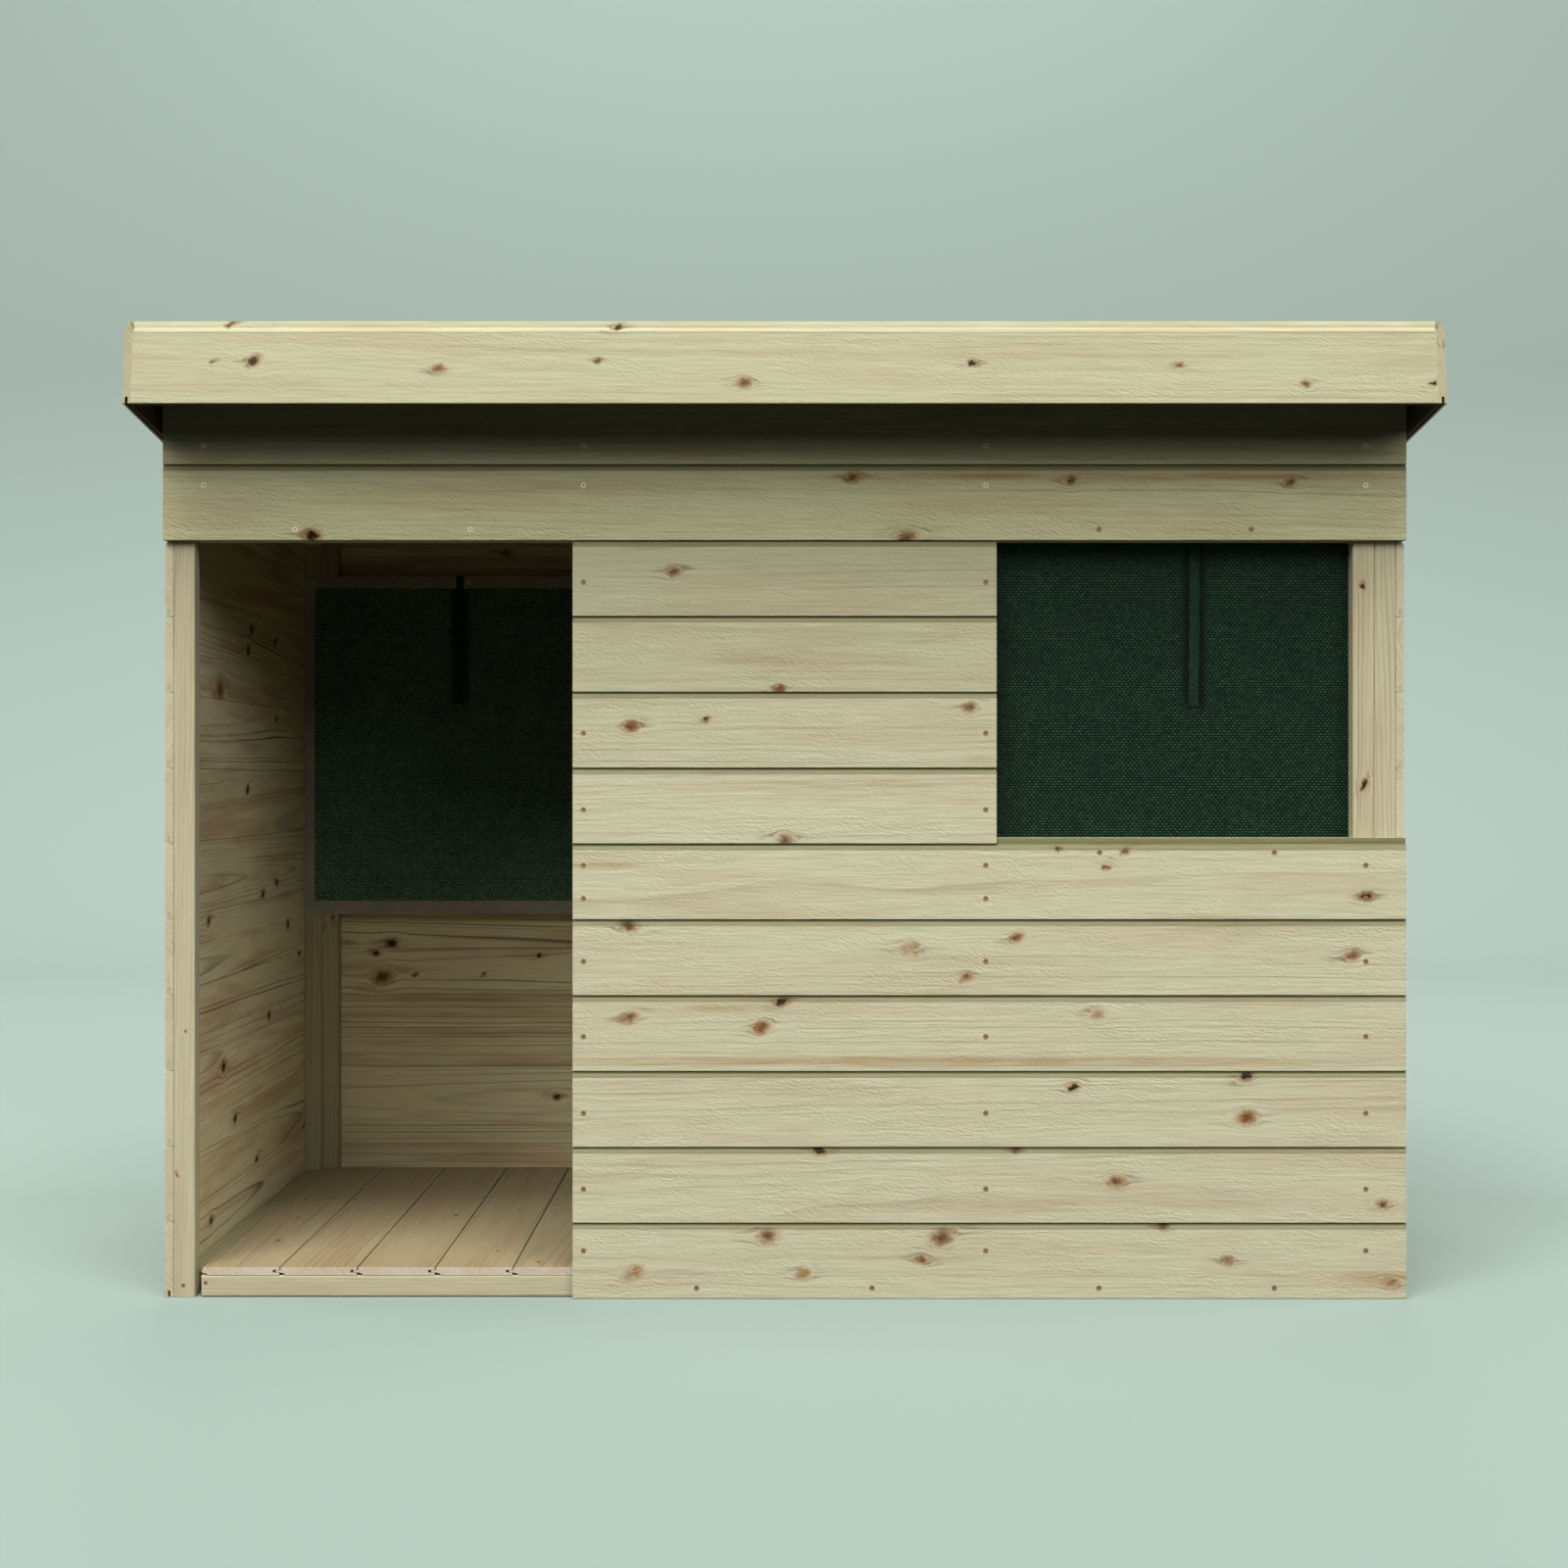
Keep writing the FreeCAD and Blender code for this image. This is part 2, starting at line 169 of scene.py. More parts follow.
@dataclass(frozen=True)
class PineFinish:
    """Softwood from its growth rings, fibres and knots, in the board's own three directions.

    The rings are cylinders round a pith line that lies off the board, so a face shows long lines and arches, and an
    end shows curved rings. The rings flow round each knot as water flows round a post.
    """

    name: str
    pale: str = "#e3dfc0"
    warm: str = "#d9c3a0"
    late: str = "#a4845a"
    flame: str = "#b8854f"
    streak: str = "#bd9a6a"
    knot: str = "#74461f"
    rim: str = "#1f140c"
    ring_mm: float = 9.0
    ring_from: float = 0.35
    ring_show: float = 0.38
    band_show: float = 0.38
    line_show: float = 0.12
    wander: float = 0.022
    line_depth_mm: float = 0.55
    ripple_depth_mm: float = 0.0
    knot_relief_mm: float = 0.05
    roughness: float = 0.72
    specular: float = 0.3

    def make(self) -> bpy.types.Material:
        """Build the material.

        Returns:
            The material, which reads the boards' attributes grain, knot_a, knot_b, streak_a, streak_b and board.
        """
        graph = Graph(bpy.data.materials.new(self.name))
        add = graph.add
        labels = ("grain", "knot_a", "knot_b", "streak_a", "streak_b", "board")
        read = {label: add("Attribute", attribute_name=label).outputs["Vector"] for label in labels}
        board = add("SeparateXYZ", read["board"])

        def grown(source: object, long_mm: float, wide_mm: float, detail: float) -> bpy.types.Node:
            """Noise of a real size along and across the grain.

            Args:
                source: the grain's coordinates.
                long_mm: size along the grain in millimetres.
                wide_mm: size across it in millimetres.
                detail: number of finer layers.

            Returns:
                The noise node.
            """
            stretch = (1 / (long_mm * MM), 1 / (wide_mm * MM), 1 / (wide_mm * MM))
            spot = add("VectorMath.MULTIPLY", source, stretch)
            return add("TexNoise", {"Vector": spot, "Scale": 1.0, "Detail": detail, "Roughness": 0.6})

        # Each knot: how far off in its own radii, as a round, drawn out along the grain and as a slit, and how much
        # it pushes the rings aside.
        crumble = grown(read["grain"], 9, 6, 2.5)
        wobble = add("VectorMath.MULTIPLY_ADD", crumble.outputs["Color"], (0.016, 0.011, 0), (-0.008, -0.0055, 0))
        push, knots = 0.0, []
        for layer, tone in (("knot_a", board.outputs[1]), ("knot_b", board.outputs[2])):
            from_knot = add("VectorMath.ADD", read[layer], wobble)
            part = add("SeparateXYZ", from_knot)
            off = []
            for squeeze in ((0.72, 1, 0), (0.3, 0.85, 0), (0.6, 3.6, 0)):
                flat = add("VectorMath.MULTIPLY", from_knot, squeeze)
                off.append(add("Math.DIVIDE", add("VectorMath.LENGTH", flat).outputs["Value"], part.outputs[2]))
            square = add("Math.MULTIPLY", off[0], off[0])
            share = add("Math.DIVIDE", 1.5, add("Math.MAXIMUM", square, 1.5))
            aside = add("Math.MULTIPLY", share, part.outputs[1])
            fade = add("MapRange.SMOOTHSTEP", off[0], 1.5, 4.5, 1.0, 0.0)
            push = add("Math.MULTIPLY_ADD", aside, fade, push)
            knots.append((off, tone))

        # The grain as it flows round the knots; the finest fibre of pine is 0.04 mm, too fine to show, so it is drawn
        # at 1.3 mm.
        axis = add("SeparateXYZ", read["grain"])
        beside = add("Math.SUBTRACT", axis.outputs[1], push)
        flow = add("CombineXYZ", axis.outputs[0], beside, axis.outputs[2])
        noise = {
            "warp": grown(flow, 800, 75, 2.0),
            "band": grown(flow, 420, 34, 2.5),
            "tint": grown(flow, 120, 9, 3.0),
            "lines": grown(flow, 60, 4.2, 3.0),
            "fibre": grown(flow, 40, 1.3, 2.0),
            "patch": grown(flow, 130, 40, 1.0),
        }

        # Growth rings round the pith line: each year rises slowly to its dark late wood and ends sharply.
        spoke = add("CombineXYZ", 0.0, beside, axis.outputs[2])
        radius = add("VectorMath.LENGTH", spoke).outputs["Value"]
        swell = add("Math.MULTIPLY_ADD", noise["warp"], self.wander, radius)
        count = add("Math.DIVIDE", swell, self.ring_mm * MM)
        year = add("TexNoise", {"W": count, "Scale": 0.6, "Detail": 1.0}, noise_dimensions="1D")
        saw = add("Math.FRACT", add("Math.MULTIPLY_ADD", year, 1.6, count))
        ring = add("MapRange.SMOOTHSTEP", saw, self.ring_from, 0.9)
        for share in (
            add("MapRange.SMOOTHSTEP", saw, 0.9, 1.0, 1.0, 0.0),
            add("MapRange", year, 0.3, 0.72, 0.15, 1.0),
            add("MapRange", noise["warp"], 0.42, 0.6, 0.25),
        ):
            ring = add("Math.MULTIPLY", ring, share)

        # A streak is a long patch of resin-rich wood that a maker would see as one warm band.
        mottled = add("MapRange", noise["tint"], 0.3, 0.62, 0.25)
        band = add("MapRange.SMOOTHSTEP", noise["band"], 0.44, 0.66, 0.0, self.band_show)
        coats = [(self.warm, band), (self.late, add("Math.MULTIPLY", ring, self.ring_show))]
        for layer in ("streak_a", "streak_b"):
            flat = add("VectorMath.MULTIPLY", read[layer], (1, 1, 0))
            away = add("VectorMath.LENGTH", flat).outputs["Value"]
            inside = add("MapRange.SMOOTHSTEP", away, 0.2, 1.1, 1.0, 0.0)
            stripe = add("Math.MULTIPLY", inside, add("SeparateXYZ", read[layer]).outputs[2])
            coats.append((self.streak, add("Math.MULTIPLY", stripe, mottled)))
        spot = add("MapRange", crumble, 0.44, 0.6)
        veins = add("MapRange", noise["lines"], 0.5, 0.4, 0.0, 0.9)
        for off, tone in knots:
            # From outside in: stained growth lines, an orange-brown halo, the knot's reddish wood with a dark
            # outline, its dark patches, black wood in a dead knot, and a slit in a loose one.
            body = add("MapRange", tone, 0.05, 0.3)
            rim = add("Math.ABSOLUTE", add("Math.SUBTRACT", off[0], 0.95))
            dead = add("MapRange", tone, 0.6, 0.85)
            loose = add("MapRange", tone, 0.93, 0.98)
            for tint, reach, (full, none), weights in (
                (self.knot, off[1], (0.4, 2.0), (veins, 0.7)),
                (self.flame, off[0], (0.5, 2.1), (mottled, 0.9)),
                (self.knot, off[0], (0.2, 1.15), (body, 0.8)),
                (self.rim, rim, (0.0, 0.35), (body, spot, 0.2)),
                (self.rim, off[0], (0.0, 0.9), (spot, tone, 0.9)),
                (self.rim, off[0], (0.5, 1.0), (dead, 0.9)),
                (self.rim, off[2], (0.7, 1.1), (loose,)),
            ):
                share = add("MapRange.SMOOTHSTEP", reach, full, none, 1.0, 0.0)
                for weight in weights:
                    share = add("Math.MULTIPLY", share, weight)
                coats.append((tint, share))
        colour = linear(self.pale)
        for tint, share in coats:
            colour = add("Mix", {0: share, 6: colour, 7: linear(tint)}, data_type="RGBA").outputs[2]
        shade = board.outputs[0]
        for label, show in (("lines", self.line_show), ("fibre", 0.05)):
            shade = add("Math.MULTIPLY", shade, add("MapRange", noise[label], 0.3, 0.62, 1 - show, 1.0))
        # Darker shade turns more olive too, so blue falls off faster: this covers the grain lines, the random tone and
        # the painted shade that the board attribute carries.
        olive = add("CombineXYZ", shade, shade, add("Math.POWER", shade, 1.3))

        # Relief in metres: hard late wood and grain lines stand proud; the saw leaves slanting ripples.
        relief = [(ring, 0.15), (noise["lines"], self.line_depth_mm), (noise["fibre"], 0.1)]
        if self.ripple_depth_mm:
            turned = add("Mapping", {"Vector": flow, "Rotation": (0, 0, 0.35)}, vector_type="POINT")
            mark = add("MapRange", grown(turned, 9, 3.2, 2.0), 0.3, 0.72)
            here = add("MapRange", noise["patch"], 0.4, 0.62, 0.25)
            relief.append((add("Math.MULTIPLY", mark, here), self.ripple_depth_mm))
        for off, _ in knots:
            wave = add("Math.SINE", add("Math.MULTIPLY", off[0], 11.0))
            near = add("MapRange", off[0], 0.9, 2.6, 1.0, 0.0)
            relief.append((add("Math.MULTIPLY", wave, near), self.knot_relief_mm))
        height = 0.0
        for source, depth in relief:
            height = add("Math.MULTIPLY_ADD", source, depth * MM, height)
        skin = {
            "Base Color": add("VectorMath.MULTIPLY", colour, olive),
            "Normal": add("Bump", {"Strength": 1.0, "Distance": 1.0, "Height": height}),
            "Roughness": add("MapRange", noise["lines"], 0.0, 1.0, self.roughness - 0.08, self.roughness + 0.1),
            "IOR": 1.45,
            "Specular IOR Level": self.specular,
        }
        graph.feed(graph.shader, skin)
        return graph.owner


@dataclass(frozen=True)
class WovenFinish:
    """Polyester cloth, plain woven of flat yarns: short dashes of light yarn on dark gaps, staggered row by row."""

    name: str
    yarn: str
    other_yarn: str
    gap: str
    dash_mm: float = 6.4
    row_mm: float = 3.95
    gap_mm: float = 0.55
    loose_mm: float = 3.4
    squeeze: float = 0.7
    slant: float = 0.0
    roughness: float = 0.7

    def make(self) -> bpy.types.Material:
        """Build the material.

        Returns:
            The material, which reads the cloth's own UV map in metres, and its attribute strap_painted_shadow, 1 where
            the strap's shadow is painted on.
        """
        graph = Graph(bpy.data.materials.new(self.name))
        add = graph.add
        turned = add(
            "Mapping", {"Vector": add("UVMap", uv_map="cloth"), "Rotation": (0, 0, self.slant)}, vector_type="POINT"
        )
        drift = add("TexNoise", {"Vector": turned, "Scale": 180.0, "Detail": 1.0})
        slack = (self.loose_mm * MM, 0.5 * self.loose_mm * MM, 0)
        loose = add("VectorMath.MULTIPLY_ADD", drift.outputs["Color"], slack, turned)
        # Squeezed across, so that the gap beside a dash is wider than the one above it.
        loose = add("VectorMath.MULTIPLY", loose, (self.squeeze, 1, 1))
        bricks = {
            "Vector": loose,
            "Color1": linear(self.yarn),
            "Color2": linear(self.other_yarn),
            "Mortar": linear(self.gap),
            "Scale": 1.0,
            "Brick Width": self.squeeze * self.dash_mm * MM,
            "Row Height": self.row_mm * MM,
            "Mortar Size": self.gap_mm * MM,
            "Mortar Smooth": 1.0,
        }
        weave = add("TexBrick", bricks, offset=0.5)
        worn = add("TexNoise", {"Vector": turned, "Scale": 14.0, "Detail": 3.0})
        shade = add("MapRange", worn, 0.3, 0.7, 0.9, 1.08)
        # Painted shadow of the strap: the cloth is darkened in bands down both of its sides.
        strap_painted_shadow = add("Attribute", attribute_name="strap_painted_shadow").outputs["Fac"]
        shade = add("Math.MULTIPLY", shade, add("Math.MULTIPLY_ADD", strap_painted_shadow, -0.8, 1.0))
        height = add("Math.MULTIPLY", weave.outputs["Fac"], -0.45 * MM)
        skin = {
            "Base Color": add("VectorMath.SCALE", {0: weave, "Scale": shade}),
            "Normal": add("Bump", {"Strength": 1.0, "Distance": 1.0, "Height": height}),
            "Roughness": self.roughness,
            "Specular IOR Level": 0.08,
            "Sheen Weight": 0.02,
            "Sheen Roughness": 0.5,
        }
        graph.feed(graph.shader, skin)
        return graph.owner


@dataclass(frozen=True)
class NailFinish:
    """Electro-brassed steel, stamped: a paler rim round a brown centre, worn on the brown nails and a near-white
    painted highlight on the bright ones.
    """

    name: str
    centre: str
    rim: str
    metallic: float = 0.3
    roughness: float = 0.5

    def make(self) -> bpy.types.Material:
        """Build the material.

        Returns:
            The material, which reads the nail's attribute radius, 0 at its middle and 1 at its edge.
        """
        graph = Graph(bpy.data.materials.new(self.name))
        add = graph.add
        radius = add("Attribute", attribute_name="radius").outputs["Fac"]
        spots = add("TexNoise", {"Vector": add("TexCoord").outputs["Object"], "Scale": 900.0, "Detail": 2.0})
        edge = add("MapRange", add("Math.MULTIPLY_ADD", spots, 0.35, radius), 0.42, 0.68)
        colour = add("Mix", {0: edge, 6: linear(self.centre), 7: linear(self.rim)}, data_type="RGBA").outputs[2]
        bump = add("Bump", {"Strength": 0.6, "Distance": 0.3 * MM, "Height": spots})
        skin = {"Base Color": colour, "Normal": bump, "Roughness": self.roughness, "Metallic": self.metallic}
        graph.feed(graph.shader, skin)
        return graph.owner


@dataclass(frozen=True)
class Profile:
    """A board's cross-section: points across and deep, anticlockwise, and the finish and painted shade of each strip
    between them.
    """

    across: np.ndarray
    deep: np.ndarray
    faces: np.ndarray
    shades: np.ndarray


def shiplap_profile(
    cover: float,
    sawn_front: bool = True,
    back_gap: float = 0.8 * MM,
    unshaded_scoop: bool = False,
    reach: float = 9.0,
    steep: float = 1.0,
) -> Profile:
    """Work out a shiplap board's section: a face with a scooped top, a tongue over it and a groove below.

    The scoop leaves the face gently and ends under the next board's lip: deep = depth * (1 - cosine of a quarter
    turn's share of the way up).

    Args:
        cover: height that one board covers.
        sawn_front: the outer face is rough-sawn.
        back_gap: width of the joint on the inner side.
        unshaded_scoop: the scoop gets no painted shade and is as light as the face.
        reach: length of the tongue in millimetres.
        steep: power of the scoop's curve; below 1 it starts abruptly.

    Returns:
        The section, from the bottom of the outer face round to the groove.
    """
    rise, depth, gap = 9 * MM, 4.2 * MM, 0.7 * MM
    share = np.linspace(0, 1, 8)
    scoop = np.stack([cover - rise + share * (rise - gap), depth * (1 - np.cos(share * np.pi / 2)) ** steep], 1)
    edge = np.array([[cover - rise - 0.9 * MM, 0.0]])
    lip = np.array([[0.0, 0.7], [0.2, 0.2], [0.7, 0.0], [1.6, 0.0]]) * MM
    tip = [[reach - 0.4, 4.6], [reach, 4.9], [reach, 7.1], [reach - 0.4, 7.5]]
    tongue = np.array([[-0.7, 4.6], *tip, [0.0, 7.5]]) * MM
    tongue[-1, 0] = -back_gap
    tongue[:, 0] += cover
    back = np.array([[cover - back_gap, 11.4 * MM], [cover - back_gap - 0.5 * MM, 12 * MM], [0.5 * MM, 12 * MM]])
    groove = np.array([[0.0, 11.4], [0.0, 8.0], [9.6, 8.0], [9.6, 4.1], [0.0, 4.1]]) * MM
    points = np.concatenate([lip, edge, scoop, tongue, back, groove])
    faces = np.full(len(points), Face.PLANED.value)
    shades = np.ones(len(points))
    if sawn_front:
        start = len(lip) + len(edge)
        end = start + len(scoop)
        faces[: end + len(tongue)] = Face.SAWN.value
        faces[-1] = Face.SAWN.value
        # Painted shade: a thin dark line where the face turns into the scoop.
        shades[start - 1] = 0.6
        if not unshaded_scoop:
            # Painted shade in the scoop under the next board's lip: darker the deeper it lies, darkest where it runs
            # into the tongue.
            shades[start:end] = np.linspace(0.5, 0.3, len(scoop))
            shades[end] = 0.3
    return Profile(points[:, 0], points[:, 1], faces, shades)


def planed_profile(wide: float, deep: float, arris: float = 2.5 * MM) -> Profile:
    """Work out a planed timber's section: a rectangle whose four corners are quarter circles.

    Each point is its corner's centre plus the arris radius times (cosine, sine) of its angle. A point a millimetre
    before and after each corner keeps the flat sides flat to the eye.

    Args:
        wide: size across.
        deep: size in depth.
        arris: radius of the rounded corners.

    Returns:
        The section.
    """
    turn = np.radians(np.repeat([180, 270, 0, 90], 6) + np.tile([0, 0, 30, 60, 90, 90], 4))
    lead = np.tile([-1, 0, 0, 0, 0, 1], 4)[:, None] * MM
    far_x, far_y = wide - arris, deep - arris
    middle = np.repeat([[arris, arris], [far_x, arris], [far_x, far_y], [arris, far_y]], 6, axis=0)
    points = middle + arris * np.stack([np.cos(turn), np.sin(turn)], 1)
    points += lead * np.stack([-np.sin(turn), np.cos(turn)], 1)
    return Profile(points[:, 0], points[:, 1], np.full(len(points), Face.PLANED.value), np.ones(len(points)))


def tube(rows: int, count: int, flip: bool = False) -> tuple[np.ndarray, np.ndarray, np.ndarray]:
    """Number the faces of a closed section that is carried over rows of points.

    Args:
        rows: number of rows.
        count: points in the section.
        flip: turn every face over.

    Returns:
        The quads round it, the first row's cap and the last row's cap.
    """
    row = np.arange(rows - 1)[:, None] * count
    here, after = np.arange(count), (np.arange(count) + 1) % count
    quads = np.stack([row + here, row + after, row + count + after, row + count + here], -1).reshape(-1, 4)
    start, end = here[::-1], (rows - 1) * count + here
    return (quads[:, ::-1], start[::-1], end[::-1]) if flip else (quads, start, end)


@dataclass(frozen=True)
class Trim:
    """A cut: points beyond the plane normal . point = limit go back to it along one direction."""

    normal: np.ndarray
    limit: float
    push: np.ndarray

    def cut(self, points: np.ndarray) -> np.ndarray:
        """Move the points beyond the plane back along the push direction.

        Args:
            points: an array of points in its last axis.

        Returns:
            The points, cut.
        """
        over = np.maximum(points @ self.normal - self.limit, 0.0) / (self.push @ self.normal)
        return points - over[..., None] * self.push


@dataclass
class Timber:
    """One straight piece of wood, with the directions along, across and into it, and what grew in it."""

    origin: np.ndarray
    along: np.ndarray
    across: np.ndarray
    deep: np.ndarray
    length: float
    profile: Profile
    seed: int
    knots: list[tuple[float, float, float, float]] = field(default_factory=list)
    streaks: list[tuple[float, float, float, float, float]] = field(default_factory=list)
    trims: tuple[Trim, ...] = ()
    extra_cuts: int = 0
    shade: float | None = None

    def cells(self, knots: list[tuple[float, ...]], mids: np.ndarray) -> np.ndarray:
        """Give each stretch of the board its nearest knot along the grain.

        Args:
            knots: knots of one layer, each (along, across, radius, darkness, slant).
            mids: the middles of the stretches.

        Returns:
            One knot for each stretch.
        """
        if not knots:
            return np.tile(FAR_AWAY, (len(mids), 1))
        table = np.array(knots)
        return table[np.abs(mids[:, None] - table[None, :, 0]).argmin(1)]

    def surface(self) -> dict[str, object]:
        """Carry the profile along the board.

        A point is origin + along * s + across * v + deep * t, cut by the trims. The grain attribute is (s, v, t)
        measured from a pith line that runs at a small angle to the board.

        Returns:
            Points, faces, finish numbers and corner attributes.
        """
        random = np.random.default_rng(self.seed)
        knots = sorted((*knot, random.uniform(-0.35, 0.1)) for knot in self.knots)
        layers = [knots[0::2], knots[1::2]]
        edges = [0.0, self.length, *np.linspace(0, self.length, self.extra_cuts + 2)]
        for layer in layers:
            places = np.array([k[0] for k in layer])
            edges += ((places[1:] + places[:-1]) / 2).tolist()
        stations = np.unique(np.round(np.clip(edges, 0, self.length), 5))
        mids = (stations[1:] + stations[:-1]) / 2

        count, rows = len(self.profile.across), len(stations)
        frame = np.stack([self.along, self.across, self.deep])
        section = np.tile(self.profile.across, rows), np.tile(self.profile.deep, rows)
        local = np.stack([np.repeat(stations, count), *section], 1)
        points = self.origin + local @ frame
        for trim in self.trims:
            points = trim.cut(points)
        local = (points - self.origin) @ np.linalg.inv(frame)

        quads, start, end = tube(rows, count, flip=bool(np.linalg.det(frame) < 0))
        quad_cell = np.repeat(np.arange(rows - 1), count)
        quad_face = np.tile(self.profile.faces, rows - 1)
        corner_point = np.concatenate([quads.ravel(), start, end])
        corner_cell = np.concatenate([np.repeat(quad_cell, 4), np.zeros(count, int), np.full(count, rows - 2)])
        spot = local[corner_point]
        pith = random.uniform(-0.05, 0.16), random.choice([-1, 1]) * random.uniform(0.03, 0.11)
        lean = random.uniform(-0.018, 0.018, 2)
        shift = random.uniform(0, 40)
        from_middle = spot[:, 0] - self.length / 2
        beside = [spot[:, 1 + side] - pith[side] - lean[side] * from_middle for side in (0, 1)]
        attributes = {"grain": np.stack([spot[:, 0] + shift, *beside], 1)}
        tones = []
        for name, layer in zip(("knot_a", "knot_b"), layers):
            own = self.cells(layer, mids)[corner_cell]
            off = spot[:, :2] - own[:, :2]
            attributes[name] = np.stack([off[:, 0], off[:, 1] + own[:, 4] * off[:, 0], own[:, 2]], 1)
            tones.append(own[:, 3])
        bands = [*self.streaks, NO_STREAK, NO_STREAK]
        for name, (s0, v0, long, high, strength) in zip(("streak_a", "streak_b"), bands):
            off = [(spot[:, 0] - s0) / long, (spot[:, 1] - v0) / high, np.full(len(spot), strength)]
            attributes[name] = np.stack(off, 1)
        # The board attribute's first part: a random tone unless a shade is given, mostly painted shade, times each
        # strip's painted shade.
        shade = self.shade or random.uniform(0.95, 1.02)
        strip = np.concatenate([np.repeat(np.tile(self.profile.shades, rows - 1), 4), np.ones(2 * count)])
        attributes["board"] = np.stack([shade * strip, *tones], 1)
        return {
            "points": points,
            "quads": quads,
            "caps": [start, end],
            "faces": np.concatenate([quad_face, [Face.END.value] * 2]),
            "attributes": attributes,
        }


class Finishes:
    """The playhouse's materials, each made once."""

    def __init__(self) -> None:
        """Make every finish."""
        # Rough-sawn, pressure-treated spruce and pine: cream with a green tinge, beige bands, a chipped grain.
        self.sawn = PineFinish("sawn_treated_pine", ripple_depth_mm=0.45).make()
        # The same boards under the eaves as a shaded copy: greener, darker colours painted as the overhang's shade,
        # less specular, and saw marks cut deeper as if lit so low that they stand out.
        self.eaves = PineFinish(
            "sawn_pine_under_eaves_painted_shade", pale="#dbd8ae", warm="#ceba8b", line_depth_mm=1.1, ripple_depth_mm=1, specular=0.06
        ).make()
        # Planed inner faces of the same boards: sharper, darker growth lines on a smoother skin.
        self.inner = PineFinish(
            "planed_board_backs", "#f0e3b6", "#d9b78c", "#3d2412", ring_mm=5.6, ring_from=0.6, ring_show=0.95,
            band_show=0.75, wander=0.009, line_depth_mm=0.3,
        ).make()
        # Planed undersides of the roof and backs of the fascias, always in shadow: the same wood, painted dark as
        # painted shade.
        self.under = PineFinish("planed_roof_underside_painted_shade", "#6c5e48", "#5c4b37", "#3a2a1b", specular=0.06).make()
        # Planed framing: straight, fine lines with rounded edges that catch the light.
        self.framing = PineFinish(
            "planed_framing_pine", "#cfc7a4", "#c6b08c", "#80592f", ring_mm=5, ring_from=0.5, ring_show=0.7,
            band_show=0.4, line_depth_mm=0.2,
        ).make()
        # Planed floor: pinker heart, long brown lines, small dark pin knots.
        self.floor = PineFinish(
            "planed_floor_pine", "#a09270", "#99795a", "#6e4b2e", ring_mm=8, ring_show=0.65, line_depth_mm=0.15
        ).make()
        # Freshly sawn ends of the floor boards: paler and pinker than their faces, with the rings cut across.
        self.floor_end = PineFinish(
            "sawn_floor_ends", pale="#dccfb8", warm="#d8bda2", ring_mm=3.4, ring_show=0.5, line_depth_mm=0.1
        ).make()
        # Sawn ends of the cladding and fascias: dull, with the year rings cut across.
        self.cut_end = PineFinish(
            "sawn_board_ends", pale="#d6ceb0", warm="#d3b995", ring_mm=3.0, ring_show=0.7, line_depth_mm=0.1
        ).make()
        # Dark green polyester cloth, plain woven: near black in its gaps with a dull sheen on the yarn.
        self.cloth = WovenFinish("woven_green_polyester", "#34543f", "#213b2c", "#020a06", gap_mm=1.7).make()
        # The room side of the same cloth, painted far lighter: painted light for the dim room side.
        self.cloth_inside_painted_light = WovenFinish("woven_green_room_side_painted_light", "#93bca1", "#6d987e", "#10291b", gap_mm=1.7).make()
        # The same yarn in a tight twill band.
        self.strap = WovenFinish(
            "twill_green_strap", "#33563f", "#26432f", "#010604", dash_mm=4.6, row_mm=2.9, gap_mm=1.1, slant=0.6
        ).make()
        # Grey-brown cotton tape sewn round the blind's edge.
        self.hem = WovenFinish(
            "woven_grey_tape", "#cdc8b8", "#bcb7a6", "#8a8474", dash_mm=3.0, row_mm=1.8, loose_mm=0.6
        ).make()
        # Stamped nail heads: the bright ones have a near-white rim, a painted highlight for the metal's glint, round a
        # brown centre; the brown ones have a paler worn rim.
        self.painted_glint_nail = NailFinish("brassed_nail_painted_glint", "#96764c", "#fbe6bd", metallic=0.0).make()
        self.brown_nail = NailFinish("brassed_nail_brown", "#6b5030", "#8f7149", metallic=0.1).make()


class Joinery:
    """A set of timbers that stand for one CAD node."""

    def __init__(self, node: str, slot: str, finishes: list[bpy.types.Material]) -> None:
        """Start the set.

        Args:
            node: the CAD node it replaces.
            slot: the record's material slot.
            finishes: materials in Face order.
        """
        self.node, self.slot, self.finishes = node, slot, finishes
        self.timbers: list[Timber] = []

    def make(self) -> None:
        """Join the timbers' surfaces into one mesh that takes its node's place."""
        points, faces, finish = [], [], []
        attributes: dict[str, list[np.ndarray]] = {}
        offset = 0
        for timber in self.timbers:
            part = timber.surface()
            points.append(part["points"])
            faces += (part["quads"] + offset).tolist() + [(cap + offset).tolist() for cap in part["caps"]]
            finish.append(part["faces"])
            for name, values in part["attributes"].items():
                attributes.setdefault(name, []).append(values)
            offset += len(part["points"])
        mesh = new_mesh(self.node + "_boards", np.concatenate(points), faces)
        for name, values in attributes.items():
            layer = mesh.attributes.new(name, "FLOAT_VECTOR", "CORNER")
            layer.data.foreach_set("vector", np.concatenate(values).astype(np.float32).ravel())
        for material in self.finishes:
            mesh.materials.append(material)
        index = np.concatenate(finish) % len(self.finishes)
        mesh.polygons.foreach_set("material_index", index.astype(np.int32))
        place(mesh, self.slot, [self.node])


